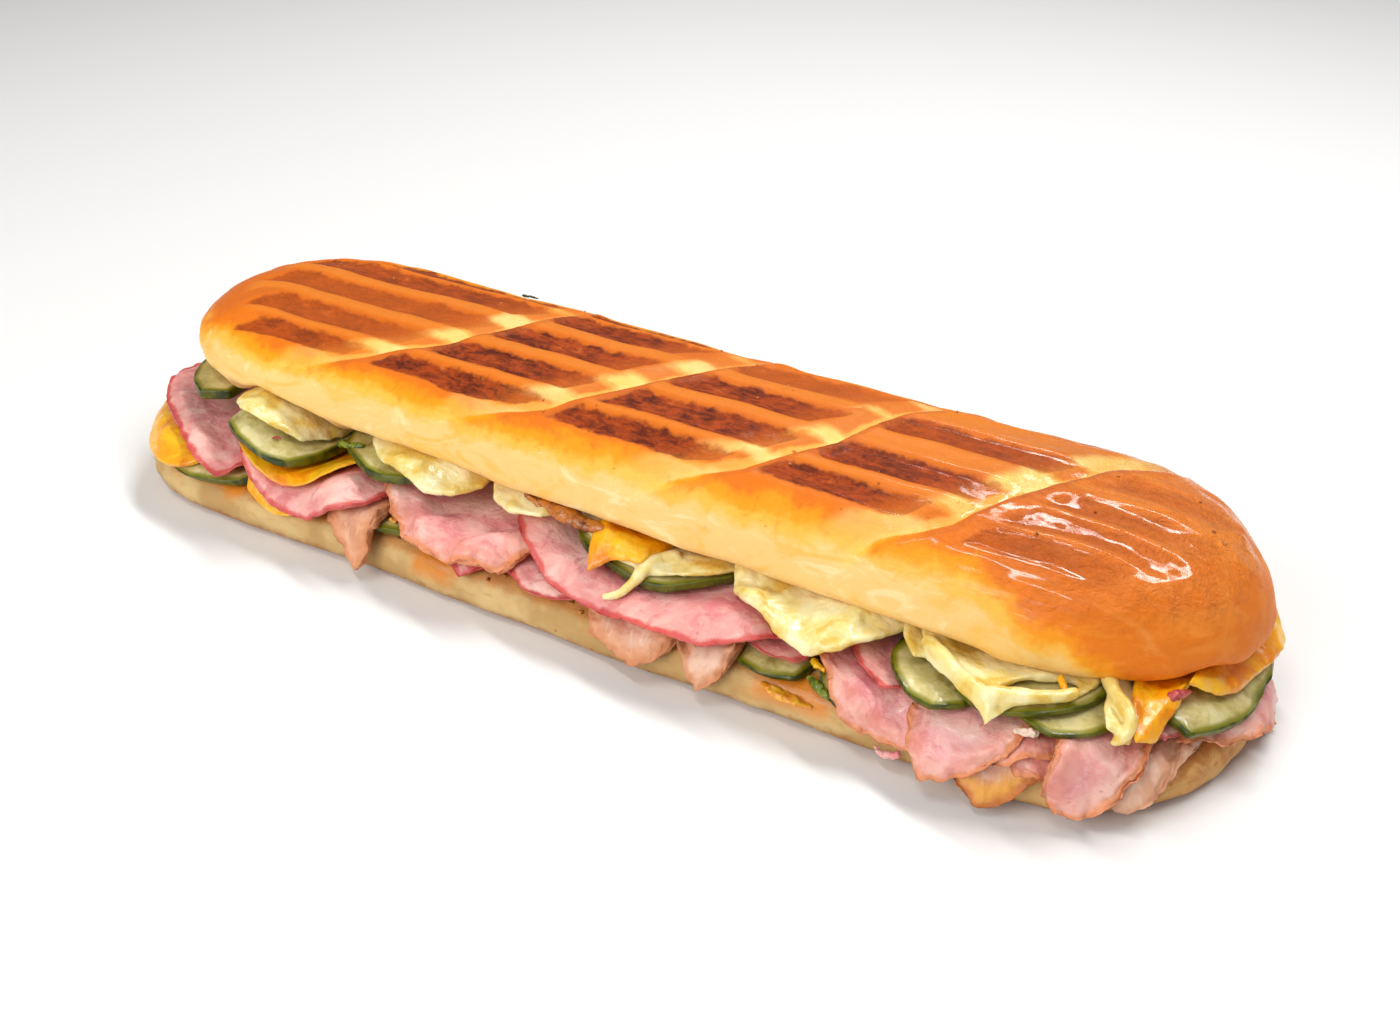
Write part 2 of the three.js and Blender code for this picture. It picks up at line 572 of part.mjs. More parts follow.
const lipHeightAt = (x) => {
  const along = (x - TOP_CENTRE.x) / TOP_HALF_LENGTH;
  return LIP_HEIGHT - LIP_FALL * along + 1.4 * (along * along - 0.33);
};

// Height of the crust, from how far a ring is inside the widest line (0 at the rim, 1 at the crown).
function crownShare(inward) {
  const angle = Math.acos((1 - inward) ** (1 / SHOULDER_POWER));
  return Math.sin(angle) ** 1.02;
}

function topRing(inset, heightAt) {
  const shape = {
    halfLength: TOP_HALF_LENGTH - inset,
    halfWidth: TOP_HALF_WIDTH - inset,
    endLength: TOP_END_LENGTH - inset,
    power: TOP_END_POWER,
  };
  return ringAround(shape, 16, 7, () => 0).map(([x, y]) => {
    const place = [x + TOP_CENTRE.x, y + TOP_CENTRE.y];
    return [...place, heightAt(...place)];
  });
}

// The height of the crust over any place, used to press the grill bars and slashes in.
function crustHeightAt(x, y) {
  const across = Math.abs(y - TOP_CENTRE.y);
  const past = Math.max(0, Math.abs(x - TOP_CENTRE.x) - (TOP_HALF_LENGTH - TOP_END_LENGTH));
  let low = 0;
  let high = TOP_HALF_WIDTH - 0.01;
  for (let step = 0; step < 24; step += 1) {
    const inset = (low + high) / 2;
    const endShare = past / (TOP_END_LENGTH - inset);
    const sideShare = across / (TOP_HALF_WIDTH - inset);
    const inside = endShare ** TOP_END_POWER + sideShare ** TOP_END_POWER < 1 && endShare < 1;
    if (inside) low = inset;
    else high = inset;
  }
  return mix(lipHeightAt(x), CROWN_HEIGHT, crownShare(low / TOP_HALF_WIDTH));
}

const solidFrom = ({ vertices, faces }) => new wasm.Manifold(new wasm.Mesh({
  numProp: 3,
  vertProperties: new Float32Array(vertices.flat()),
  triVerts: new Uint32Array(faces.flat()),
}));

// A tool that presses a shallow groove along a line on the crust, narrower towards its ends.
function grooveTool(line, width, depth) {
  const steps = line.length;
  const rings = [];
  line.forEach(({ x, y }, k) => {
    const before = line[Math.max(0, k - 1)];
    const after = line[Math.min(steps - 1, k + 1)];
    const heading = new THREE.Vector2(after.x - before.x, after.y - before.y).normalize();
    const fullness = Math.sin(Math.PI * (k + 0.35) / (steps - 0.3)) ** 0.45;
    const half = width / 2 * fullness;
    const section = [[-half, GROOVE_RISE], [0, -depth], [half, GROOVE_RISE]];
    rings.push(section.map(([side, lift]) => {
      const place = [x - heading.y * side, y + heading.x * side];
      const sink = lift < 0 ? lift * fullness : lift;
      return [...place, crustHeightAt(...place) + sink];
    }));
  });
  const count = rings[0].length;
  const faces = [];
  for (let ring = 0; ring + 1 < steps; ring += 1) {
    for (let k = 0; k < count; k += 1) {
      const a = ring * count + k;
      const b = ring * count + (k + 1) % count;
      faces.push([a, b, b + count], [a, b + count, a + count]);
    }
  }
  const last = (steps - 1) * count;
  for (let k = 1; k + 1 < count; k += 1) {
    faces.push([0, k + 1, k], [last, last + k, last + k + 1]);
  }
  return { vertices: rings.flat(), faces };
}

// Slashes run from the front left to the back right of the crust.
const slashes = [
  [[-81, -23], [-66, -15.5], [-51, -3], [-42, 13], [-35, 30]],
  [[-31, -23], [-14, -15], [1, 1], [9, 13], [18, 30]],
  [[14, -27], [36, -15.5], [50, -1], [58, 18], [67, 31]],
  [[62, -27.5], [83, -14], [93, 1], [104, 17], [117, 28]],
];

// Grill bars, in groups between the slashes: [first x, last x, y].
const bars = [
  [-100, -39, 32], [-113, -45, 22], [-116, -50, 7], [-109, -62, -5.5], [-105, -69, -15.5],
  [-31, 14, 32], [-38, 2, 22], [-46, -4, 8], [-52, -12, -6], [-61, -18, -15.7],
  [22, 63, 32], [14, 50, 22.5], [6, 44, 9], [1, 41, -5], [-9, 32, -15],
  [72, 112, 31], [56, 96, 12.5], [50, 88, -3.5], [42, 80, -14],
  [108, 132, 12], [101, 131, 0.5], [95, 126, -8], [90, 118, -15],
];

function buildTopHalf() {
  const lip = (x) => lipHeightAt(x);
  const underInsets = [24, 11, 2.2];
  const crustShares = [0.02, 0.06, 0.14, 0.26, 0.44, 0.66, 0.88];
  const yieldShares = [1, 0.85, 0.6, 0.35, 0.15];   // rings over a filling that lifts the rim
  const rings = underInsets.map((inset) => topRing(inset, (x) => lip(x) + 0.25));
  rings.push(topRing(0.6, (x) => lip(x) + 0.9));
  rings.push(topRing(0, (x) => lip(x) + 3));
  for (const share of crustShares) {
    const crustHeight = (x) => mix(lip(x), CROWN_HEIGHT, crownShare(share));
    rings.push(topRing(share * TOP_HALF_WIDTH, (x) => Math.max(lip(x) + 4.4, crustHeight(x))));
  }
  const count = rings[0].length;
  const body = ringBody(rings);
  const isUnderFace = (face) => face.every((k) => k < underInsets.length * count);
  const plannedRim = rings[underInsets.length - 1].map(([, , z]) => z);
  under.settle(body.vertices, body.faces.filter(isUnderFace), () => SLICE_GAP);
  yieldShares.forEach((share, ring) => {
    plannedRim.forEach((planned, k) => {
      const rimNow = body.vertices[(underInsets.length - 1) * count + k][2];
      body.vertices[(underInsets.length + ring) * count + k][2] += share * (rimNow - planned);
    });
  });
  const press = (line, width, depth) => solidFrom(grooveTool(line, width, depth));
  let solid = solidFrom(body);
  for (const slash of slashes) solid = solid.subtract(press(smoothLine(slash, 7), SLASH_WIDTH, SLASH_DEPTH));
  for (const [start, end, y] of bars) {
    const line = smoothLine([[start, y], [(start + end) / 2, y], [end, y]], 3);
    solid = solid.subtract(press(line, STRIPE_WIDTH, STRIPE_DEPTH));
  }
  const { vertProperties, triVerts } = solid.getMesh();
  const geometry = new THREE.BufferGeometry();
  geometry.setAttribute('position', new THREE.BufferAttribute(vertProperties, 3));
  geometry.setIndex(new THREE.BufferAttribute(triVerts, 1));
  addMesh('top_bread', 'crust', geometry);
}

// ---------------------------------------------------------------- assembly

buildBottomHalf();
fillings.forEach(laySlice);
buildTopHalf();

export default group;
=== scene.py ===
# %% [markdown]
# # A pressed sandwich on a long roll
# The model is a hot sandwich: a grill-marked top half, a flat bottom half, and slices of ham, roast
# pork, two cheeses and pickle between them. The frame holds a plain solid for each piece, at its
# true place. This file gives every piece its real surface and its real look, and moves nothing.

# %% Load the frame
import math

import bpy
import numpy as np
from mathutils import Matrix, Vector, noise
from mathutils.bvhtree import BVHTree


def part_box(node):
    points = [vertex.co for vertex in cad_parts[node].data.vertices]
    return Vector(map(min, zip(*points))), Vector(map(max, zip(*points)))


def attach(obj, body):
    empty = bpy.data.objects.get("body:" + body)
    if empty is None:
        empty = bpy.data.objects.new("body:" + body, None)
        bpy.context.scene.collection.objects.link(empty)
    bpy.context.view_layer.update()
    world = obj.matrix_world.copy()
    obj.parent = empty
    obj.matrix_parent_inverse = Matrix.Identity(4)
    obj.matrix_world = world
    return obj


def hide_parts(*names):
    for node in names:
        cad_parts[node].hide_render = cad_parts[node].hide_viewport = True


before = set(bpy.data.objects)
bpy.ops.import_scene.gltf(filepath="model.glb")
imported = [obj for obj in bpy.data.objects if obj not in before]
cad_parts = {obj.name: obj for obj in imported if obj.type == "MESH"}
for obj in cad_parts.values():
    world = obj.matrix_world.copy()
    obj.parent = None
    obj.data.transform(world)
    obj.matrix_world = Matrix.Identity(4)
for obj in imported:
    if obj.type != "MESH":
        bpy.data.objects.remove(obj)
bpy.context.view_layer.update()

MM = 0.001

# %% [markdown]
# ## The camera
# The photograph was taken from the front right, looking down by about thirty degrees. The camera is
# made first, so that everything after it can be looked at from the right side. Its lens is given
# the long way round: a focal length in pixels, turned into millimetres on a 36 mm sensor.

# %% Camera
CAMERA_PLACE = (0.1704, -0.2604, 0.2015)
CAMERA_HEADING = 0.5313      # radians from +Y towards -X
CAMERA_TILT = 0.5497         # radians below the horizon
IMAGE_WIDTH = 1400
FOCAL_PIXELS = 1525.5
SENSOR_WIDTH = 36.0

bpy.ops.object.camera_add(location=CAMERA_PLACE,
                          rotation=(math.pi / 2 - CAMERA_TILT, 0, CAMERA_HEADING))
camera = bpy.context.active_object
camera.data.sensor_width = SENSOR_WIDTH
camera.data.lens = FOCAL_PIXELS / IMAGE_WIDTH * SENSOR_WIDTH
camera.data.clip_start = 0.01
bpy.context.scene.camera = camera
print("lens, mm:", round(camera.data.lens, 2))

# %% [markdown]
# ## Writing materials as sums
# A procedural material is a graph of nodes, and a graph is hard to read as text. One small class
# wraps a socket, so that `1 - mask * 0.5` adds the Math nodes by itself. A second class is the
# material: it adds any other node by one method, and it fills the sockets of the shader. Light goes
# a little way into bread, meat and cheese before it comes out again, so each of them also gets a
# share of that.

# %% The socket class
SOFT_REACH = 3 * MM      # how far light goes into the food


def srgb(red, green, blue):
    """A colour as a paint program shows it, 0 to 255, in the linear numbers that shaders use."""
    parts = [value / 255 for value in (red, green, blue)]
    linear = [c / 12.92 if c <= 0.04045 else ((c + 0.055) / 1.055) ** 2.4 for c in parts]
    return (*linear, 1.0)


class Wire:
    """A number on its way through a material. Arithmetic on it adds the Math nodes."""

    def __init__(self, finish, socket):
        self.finish = finish
        self.socket = socket

    def math(self, operation, *values, clamp=False):
        return self.finish.node("ShaderNodeMath", {"operation": operation, "use_clamp": clamp},
                                dict(enumerate(values)))

    def __add__(self, other):
        return self.math("ADD", self, other)

    def __sub__(self, other):
        return self.math("SUBTRACT", self, other)

    def __rsub__(self, other):
        return self.math("SUBTRACT", other, self)

    def __mul__(self, other):
        return self.math("MULTIPLY", self, other)

    __radd__ = __add__
    __rmul__ = __mul__

    def clamped(self):
        return self.math("ADD", self, 0.0, clamp=True)

    def lower(self, other):
        return self.math("MINIMUM", self, other)

    def higher(self, other):
        return self.math("MAXIMUM", self, other)

    def step(self, low, high):
        """0 below low, 1 above high, a smooth rise between them. With low above high it falls."""
        return self.finish.node("ShaderNodeMapRange", {"interpolation_type": "SMOOTHSTEP"},
                                {"Value": self, "From Min": low, "From Max": high})


class Finish:
    """One material. Its method node() adds any node, and wear() puts it on a piece."""

    def __init__(self, name, **uniform):
        self.material = bpy.data.materials.new(name)
        self.material.use_nodes = True
        self.tree = self.material.node_tree
        self.shader = self.tree.nodes["Principled BSDF"]
        for socket, value in uniform.items():
            self.shader.inputs[socket.replace("_", " ")].default_value = value
        self.shader.inputs["Subsurface Scale"].default_value = SOFT_REACH
        self.place = self.node("ShaderNodeTexCoord", {}, {}, "Object")

    def node(self, kind, settings, sockets, output=0):
        """Adds a node. The settings are set first, then the sockets are filled or linked."""
        node = self.tree.nodes.new(kind)
        for key, value in settings.items():
            setattr(node, key, value)
        for key, value in sockets.items():
            if isinstance(value, Wire):
                self.tree.links.new(value.socket, node.inputs[key])
            else:
                node.inputs[key].default_value = value
        return Wire(self, node.outputs[output])

    def feed(self, socket, wire):
        self.tree.links.new(wire.socket, self.shader.inputs[socket])

    def attribute(self, name):
        return self.node("ShaderNodeAttribute", {"attribute_name": name}, {}, "Fac")

    def axis(self, letter):
        """One Object coordinate, in millimetres."""
        return self.node("ShaderNodeSeparateXYZ", {}, {0: self.place}, letter) * (1 / MM)

    def stretched(self, scale):
        """Object coordinates stretched by a factor along each axis."""
        return self.node("ShaderNodeMapping", {}, {"Vector": self.place, "Scale": scale})

    def noise(self, size, detail=3.0, roughness=0.5, distortion=0.0, place=None):
        """Cloudy noise from 0 to 1, with features of a size in millimetres."""
        return self.node("ShaderNodeTexNoise", {}, {
            "Vector": place or self.place, "Scale": 1 / (size * MM), "Detail": detail,
            "Roughness": roughness, "Distortion": distortion})

    def cells(self, size):
        """Distance to the nearest of many scattered points, a size in millimetres apart."""
        return self.node("ShaderNodeTexVoronoi", {},
                         {"Vector": self.place, "Scale": 1 / (size * MM)}, "Distance")

    def blend(self, mask, first, second):
        """The first colour where the mask is 0 and the second where it is 1."""
        settings = {"data_type": "RGBA", "clamp_factor": True}
        return self.node("ShaderNodeMix", settings, {0: mask, 6: first, 7: second}, 2)

    def layers(self, colour, *layers):
        """A colour with others laid over it in turn, each as a mask and a colour."""
        for mask, over in layers:
            colour = self.blend(mask, colour, over)
        return colour

    def ramp(self, wire, *stops):
        """A colour that changes with a number: (number, colour) pairs in rising order."""
        colour = stops[0][1]
        for (low, _), (high, after) in zip(stops, stops[1:]):
            colour = self.blend(wire.step(low, high), colour, after)
        return colour

    def mottled(self, wire, dark, middle, light):
        """Three colours in patches. Noise lies mostly between a third and two thirds."""
        return self.ramp(wire, (0.36, dark), (0.5, middle), (0.64, light))

    def relief(self, height, depth, after=None):
        """A bump normal: the height, from 0 to 1, stands for a depth in millimetres."""
        sockets = {"Height": height, "Distance": depth * MM, "Strength": 1.0}
        if after is not None:
            sockets["Normal"] = after
        return self.node("ShaderNodeBump", {}, sockets)

    def wear(self, piece):
        piece.data.materials.clear()
        piece.data.materials.append(self.material)


# %% [markdown]
# ## Working on copies
# The frame's own meshes stay as they are, because the simulation uses them. Each visible piece
# starts as a copy of its solid, so it lies exactly where the solid lies. The copy's loose
# triangles are merged into one skin before anything else is done to it.

# %% Copies and modifiers
def select_only(*pieces):
    bpy.ops.object.select_all(action="DESELECT")
    for piece in pieces:
        piece.select_set(True)
    bpy.context.view_layer.objects.active = pieces[0]


def copy_of(node, name):
    """A free copy of a node's mesh, merged into one skin."""
    piece = bpy.data.objects.new(name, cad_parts[node].data.copy())
    bpy.context.scene.collection.objects.link(piece)
    select_only(piece)
    bpy.ops.mesh.customdata_custom_splitnormals_clear()
    bpy.ops.object.mode_set(mode="EDIT")
    bpy.ops.mesh.select_all(action="SELECT")
    bpy.ops.mesh.remove_doubles(threshold=0.01 * MM)
    bpy.ops.object.mode_set(mode="OBJECT")
    return piece


def finish_with(piece, kind, **settings):
    """Adds a modifier with its settings and applies it."""
    modifier = piece.modifiers.new(kind.title(), kind)
    for key, value in settings.items():
        setattr(modifier, key, value)
    select_only(piece)
    bpy.ops.object.modifier_apply(modifier=modifier.name)


def remesh(piece, size, factor, iterations):
    """One even skin with faces of a size in millimetres, then smoothed."""
    finish_with(piece, "REMESH", mode="VOXEL", voxel_size=size * MM)
    finish_with(piece, "SMOOTH", factor=factor, iterations=iterations)


def points_of(piece):
    points = np.empty(len(piece.data.vertices) * 3)
    piece.data.vertices.foreach_get("co", points)
    return points.reshape(-1, 3)


def move_points(piece, points):
    piece.data.vertices.foreach_set("co", points.ravel())
    piece.data.update()


def normals_of(piece):
    normals = np.empty(len(piece.data.vertices) * 3, np.float32)
    piece.data.vertex_normals.foreach_get("vector", normals)
    return normals.reshape(-1, 3).astype(float)


def pushed_out(piece, points, outward):
    """The points, each moved along its normal by its own distance in millimetres."""
    return points + normals_of(piece) * outward[:, None] * MM


def paint(piece, name, values):
    """Keeps one number for each point of a piece, for its material to read."""
    layer = piece.data.attributes.new(name, "FLOAT", "POINT")
    layer.data.foreach_set("value", np.asarray(values, np.float32))


def shade_smooth(piece):
    piece.data.polygons.foreach_set("use_smooth", [True] * len(piece.data.polygons))


def deliver(piece, finish, slot, *nodes):
    """The end of each piece: its material, its body and the solids that it stands for."""
    finish.wear(piece)
    shade_smooth(piece)
    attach(piece, "root")
    if nodes:
        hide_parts(*nodes)


# %% [markdown]
# Slow, even noise is needed in several places to make shapes less regular. Two short functions give
# it for many points at once, so that each piece asks for it by the size of the lumps it wants: one
# number for each point to push it in or out, or three to shift it in any direction.

# %% Noise on points
def lumps(points, size, seed):
    """Smooth noise, about -1 to 1, at each point. Size is in millimetres."""
    shift = Vector((seed * 7.31, seed * 3.17, seed * 5.53))
    return np.array([noise.noise(Vector(point) / (size * MM) + shift) for point in points])


def shifts(points, size, seed):
    """Three smooth noises at each point, one along each axis."""
    return np.stack([lumps(points, size, seed + k) for k in range(3)], axis=1)


def smooth_step(value, low, high):
    share = np.clip((value - low) / (high - low), 0, 1)
    return share * share * (3 - 2 * share)


# %% [markdown]
# ## The top half's shape
# On the real roll this is a soft domed crust that a hot ribbed plate has pressed. Two things mark
# it: diagonal slashes that the baker cut, which opened in the oven and stayed pale, and dark bars
# from the plate, which stop short of each slash because the crust dips there. Their places are the
# ones of the frame's solid. The solid is remeshed evenly first, which a sculptor would also do,
# because a relief needs small faces of one size.

# %% Places of the slashes and bars, millimetres
SLASHES = [
    [(-81, -23), (-66, -15.5), (-51, -3), (-42, 13), (-35, 30)],
    [(-31, -23), (-14, -15), (1, 1), (9, 13), (18, 30)],
    [(14, -27), (36, -15.5), (50, -1), (58, 18), (67, 31)],
    [(62, -27.5), (83, -14), (93, 1), (104, 17), (117, 28)],
]
# The bars lie in lanes, a lane for each rib of the plate: its middle line and its half width.
BACK_LANE = (32, 3.6)
FAR_LANE = (22, 4.5)
MIDDLE_LANE = (8, 4.1)
NEAR_LANE = (-5.3, 3.9)
FRONT_LANE = (-15.5, 2.8)
END_SLANT = 0.8    # the bars end along the slashes: this many millimetres of x for one of y
# lane, first x, last x and how dark the bar is
BARS = [
    (BACK_LANE, -100, -39, 0.8), (FAR_LANE, -119, -43, 0.75), (MIDDLE_LANE, -116, -49, 0.55),
    (NEAR_LANE, -109, -60, 0.6), (FRONT_LANE, -105, -70, 0.75),
    (BACK_LANE, -33, 14, 0.85), (FAR_LANE, -38, 3, 0.9), (MIDDLE_LANE, -46, -3, 1.0),
    (NEAR_LANE, -53, -11, 1.0), (FRONT_LANE, -62, -17, 1.0),
    (BACK_LANE, 22, 63, 0.5), (FAR_LANE, 14, 52, 0.5), (MIDDLE_LANE, 6, 46, 0.95),
    (NEAR_LANE, 0, 41, 1.0), (FRONT_LANE, -10, 32, 0.95),
    (BACK_LANE, 72, 112, 0.35), ((12.5, 4.0), 56, 97, 0.75), ((-3.5, 3.8), 49, 88, 0.9),
    ((-14, 2.7), 41, 76, 0.9),
    ((12, 3.5), 108, 132, 0.3), ((0.5, 3.5), 101, 131, 0.4), ((-8, 3), 95, 126, 0.4),
    (FRONT_LANE, 90, 118, 0.45),
]
TOP_LOW, TOP_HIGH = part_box("top_bread")
LIP_MIDDLE = 26.3        # height of the crust's lower edge at mid length, and its fall to the right
LIP_FALL = 5.4
LIP_CURL = 1.4           # its two ends rise a little
CROWN = TOP_HIGH.z / MM
MIDDLE_X = (TOP_LOW.x + TOP_HIGH.x) / 2 / MM
HALF_LENGTH = (TOP_HIGH.x - TOP_LOW.x) / 2 / MM
print("crown height, mm:", round(CROWN, 1), "half length, mm:", round(HALF_LENGTH, 1))


def lip_height(x):
    along = (x - MIDDLE_X) / HALF_LENGTH
    return LIP_MIDDLE - LIP_FALL * along + LIP_CURL * (along ** 2 - 0.33)


# %% [markdown]
# The distance to a slash carries a sign, minus on its left side and plus on its right. The two
# sides differ: the left one slopes gently into the cut, and the right one starts with a small step,
# where the skin tore. The distance to a bar is minus inside it, so that its edge is at zero.

# %% Distances to the slashes and bars
def signed_distance(x, y, line):
    """Distance to a polyline, positive on its right, and the share of the line's length there."""
    best = np.full(x.shape, 1e9)
    share = np.zeros(x.shape)
    corners = np.array(line, float)
    for k, (start, end) in enumerate(zip(corners, corners[1:])):
        step = end - start
        along = np.clip(((x - start[0]) * step[0] + (y - start[1]) * step[1]) / (step @ step), 0, 1)
        gap_x = x - start[0] - along * step[0]
        gap_y = y - start[1] - along * step[1]
        side = np.sign(gap_x * step[1] - gap_y * step[0])
        distance = np.hypot(gap_x, gap_y)
        nearer = distance < np.abs(best)
        best = np.where(nearer, distance * side, best)
        share = np.where(nearer, (k + along) / (len(corners) - 1), share)
    return best, share


def nearest_slash(x, y):
    """Signed distance to the nearest slash, and how open it is there: less towards its ends."""
    best = np.full(x.shape, 1e9)
    fade = np.zeros(x.shape)
    for line in SLASHES:
        distance, share = signed_distance(x, y, line)
        nearer = np.abs(distance) < np.abs(best)
        best = np.where(nearer, distance, best)
        fade = np.where(nearer, np.sin(np.pi * np.clip(share, 0.02, 0.98)) ** 0.5, fade)
    return best, fade


LANE_END = 9       # a rib still left a trace this far past the end of its bar
FADING = 15        # the last part of each bar, where it gets fainter


def nearest_bar(x, y):
    """Distance to a bar's edge, how dark the bar is, and the distance to the rib's whole lane."""
    best = np.full(x.shape, 1e9)
    dark = np.zeros(x.shape)
    lane = np.full(x.shape, 1e9)
    for (middle, half_width), start, end, strength in BARS:
        along = x - END_SLANT * (y - middle)
        across = np.abs(y - middle) - half_width
        past = np.maximum(start - along, along - end)
        outside = np.hypot(np.maximum(across, 0), np.maximum(past, 0))
        distance = np.where(outside > 0, outside, np.maximum(across, past))
        nearer = distance < best
        fading = 1 - 0.45 * smooth_step(along, end - FADING, end)
        best = np.where(nearer, distance, best)
        dark = np.where(nearer, strength * fading, dark)
        lane = np.where(past < LANE_END, np.minimum(lane, across), lane)
    return best, dark, lane


# %% [markdown]
# The press pushed the soft crumb of the cut face down on to the fillings, so no daylight shows
# between them. The fillings' tops are measured on a grid, by rays that fall straight down on the
# frame's solids. The grid is widened and softened, because bread bridges narrow gaps, and the
# underside then sinks to it everywhere but at the lip.

# %% Heights of the fillings
GRID_STEP = 3.0          # millimetres, like all that follow
DEEPEST_SAG = 9.5
CONTACT_GAP = 0.3        # the underside stops this far above the fillings
LIP_WIDTH = 7.0          # it keeps its height at the lip and has sunk fully this far in
CRUST_RADIUS = (TOP_HIGH.y - TOP_LOW.y) / 2 / MM


def filling_tops():
    """The fillings' heights in millimetres on a grid over the top half, and the grid's two axes."""
    corners = []
    faces = []
    for node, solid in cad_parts.items():
        if "bread" not in node:
            first = len(corners)
            corners += [vertex.co.copy() for vertex in solid.data.vertices]
            faces += [[first + k for k in face.vertices] for face in solid.data.polygons]
    tree = BVHTree.FromPolygons(corners, faces)
    across = np.arange(TOP_LOW.x / MM, TOP_HIGH.x / MM + GRID_STEP, GRID_STEP)
    deep = np.arange(TOP_LOW.y / MM, TOP_HIGH.y / MM + GRID_STEP, GRID_STEP)
    tops = np.zeros((len(across), len(deep)))
    for i, x in enumerate(across):
        for j, y in enumerate(deep):
            hit = tree.ray_cast(Vector((x * MM, y * MM, TOP_HIGH.z)), Vector((0, 0, -1)))[0]
            tops[i, j] = hit.z / MM if hit else 0
    around = [(i, j) for i in (-1, 0, 1) for j in (-1, 0, 1)]
    tops = np.max([np.roll(tops, offset, (0, 1)) for offset in around], axis=0)
    tops = np.mean([np.roll(tops, offset, (0, 1)) for offset in around], axis=0)
    return tops, across, deep


def sag_of(x, y, z, normals):
    """How far each point of the crust sinks, in millimetres: the underside does, inside the lip."""
    tops, across, deep = filling_tops()
    i = np.clip((x - across[0]) / GRID_STEP, 0, len(across) - 1.001)
    j = np.clip((y - deep[0]) / GRID_STEP, 0, len(deep) - 1.001)
    whole_i, whole_j = i.astype(int), j.astype(int)
    i, j = i - whole_i, j - whole_j
    height = tops[whole_i, whole_j] * (1 - i) * (1 - j) + tops[whole_i + 1, whole_j] * i * (1 - j)
    height += tops[whole_i, whole_j + 1] * (1 - i) * j + tops[whole_i + 1, whole_j + 1] * i * j
    middle_y = (TOP_HIGH.y + TOP_LOW.y) / 2 / MM
    past_spine = np.maximum(np.abs(x - MIDDLE_X) - (HALF_LENGTH - CRUST_RADIUS), 0)
    inside = smooth_step(CRUST_RADIUS - np.hypot(past_spine, y - middle_y), 2, LIP_WIDTH)
    underside = smooth_step(-normals[:, 2], 0.2, 0.7) * inside
    return underside * np.clip(z - height - CONTACT_GAP, 0, DEEPEST_SAG)


# %% [markdown]
# Then the relief. Each mark pushes the skin in or out by a distance in millimetres: the cut and
# its torn edge, the pressed bars with a low ridge round them, the slow swell of a baked loaf, the
# fine crackle, and the wrinkles of the glazed end. The distances are painted on the points as
# well, because the material needs the same marks.

# %% Shape the crust
REMESH_SIZE = 0.95
SLASH_DEPTH = 1.7
TORN_HEIGHT = 0.55
BAR_DEPTH = 0.75
RIDGE_HEIGHT = 0.35


def build_crust():
    piece = copy_of("top_bread", "crust")
    remesh(piece, REMESH_SIZE, 0.6, 14)
    points = points_of(piece)
    x, y, z = (points / MM).T
    sag = sag_of(x, y, z, normals_of(piece))
    print("deepest sag of the underside, mm:", round(sag.max(), 1))
    points[:, 2] -= sag * MM
    move_points(piece, points)
    finish_with(piece, "SMOOTH", factor=0.5, iterations=4)
    points = points_of(piece)
    x, y, z = (points / MM).T
    wander = 1.6 * lumps(points, 14, 1)
    slash, fade = nearest_slash(x + wander, y)
    bar, dark, lane = nearest_bar(x, y + 0.5 * wander)
    rise = (z - lip_height(x)) / (CROWN - lip_height(x))
    on_top = smooth_step(rise, 0.35, 0.7)

    gentle_side = np.exp(-(np.minimum(slash, 0) / 4.5) ** 2)
    torn_side = np.exp(-(np.maximum(slash, 0) / 1.1) ** 2)
    torn_edge = np.exp(-((slash - 2.6) / 1.6) ** 2)
    cut = -SLASH_DEPTH * np.minimum(gentle_side, torn_side) + TORN_HEIGHT * torn_edge
    ridge = RIDGE_HEIGHT * np.exp(-((bar - 1.7) / 1.3) ** 2)
    pressed = -BAR_DEPTH * smooth_step(-bar, -0.7, 1.0) + ridge
    pressed = pressed * (0.15 + 0.85 * smooth_step(dark, 0.1, 0.6))
    clear_of_slash = smooth_step(np.abs(slash), 1.2, 4.5)
    swell = 0.55 * lumps(points, 26, 2) + 0.25 * lumps(points, 9, 3)
    wet_end = smooth_step(x, 70, 105)
    along = points * (0.25, 1, 1)
    wrinkles = lumps(along, 4, 5) + 0.5 * lumps(along, 1.8, 6)
    crackle = 0.15 * lumps(points, 2.4, 4) * smooth_step(-bar, -1, 1.5) + 0.3 * wet_end * wrinkles
    lip_dents = 0.4 * lumps(points * (1, 1, 0.4), 6, 7) * smooth_step(-rise, -0.35, 0.05)
    outward = (fade * cut + clear_of_slash * pressed + crackle) * on_top
    outward += swell * (0.4 + 0.6 * on_top) + lip_dents
    move_points(piece, pushed_out(piece, points, outward))

    paint(piece, "rise", rise)
    paint(piece, "bar", bar + 2 * (1 - clear_of_slash))
    paint(piece, "dark", dark * on_top)
    paint(piece, "slash", slash)
    paint(piece, "from_slash", np.abs(slash))
    paint(piece, "lane", np.minimum(lane, 20))
    paint(piece, "slash_fade", fade * on_top)
    print("crust faces:", len(piece.data.polygons))
    return piece


crust = build_crust()

# %% [markdown]
# ## The crust's finish
# A baked crust isn't one brown. Its lower side never touched the plate and stays cream, it turns
# golden at the shoulder, and it is amber on top. The bars are dark and mottled, the slashes are
# cream. The right end was glazed, so it is more orange and much glossier. The painted distances
# give the pattern, and noise added to them makes every border ragged.

# %% Crust material
# the darker tan of the crust's lowest edge and of its underside is painted shade under the lip
LIP_TAN = srgb(236, 184, 120)
CREAM = srgb(243, 202, 124)
BUTTER = srgb(248, 186, 70)
GOLD = srgb(246, 154, 18)
AMBER = srgb(230, 118, 14)
TAN = srgb(212, 106, 22)
RIDGE = srgb(230, 134, 40)
END_ORANGE = srgb(234, 126, 30)
SEARED = srgb(172, 68, 10)
SCORCHED = srgb(92, 28, 4)


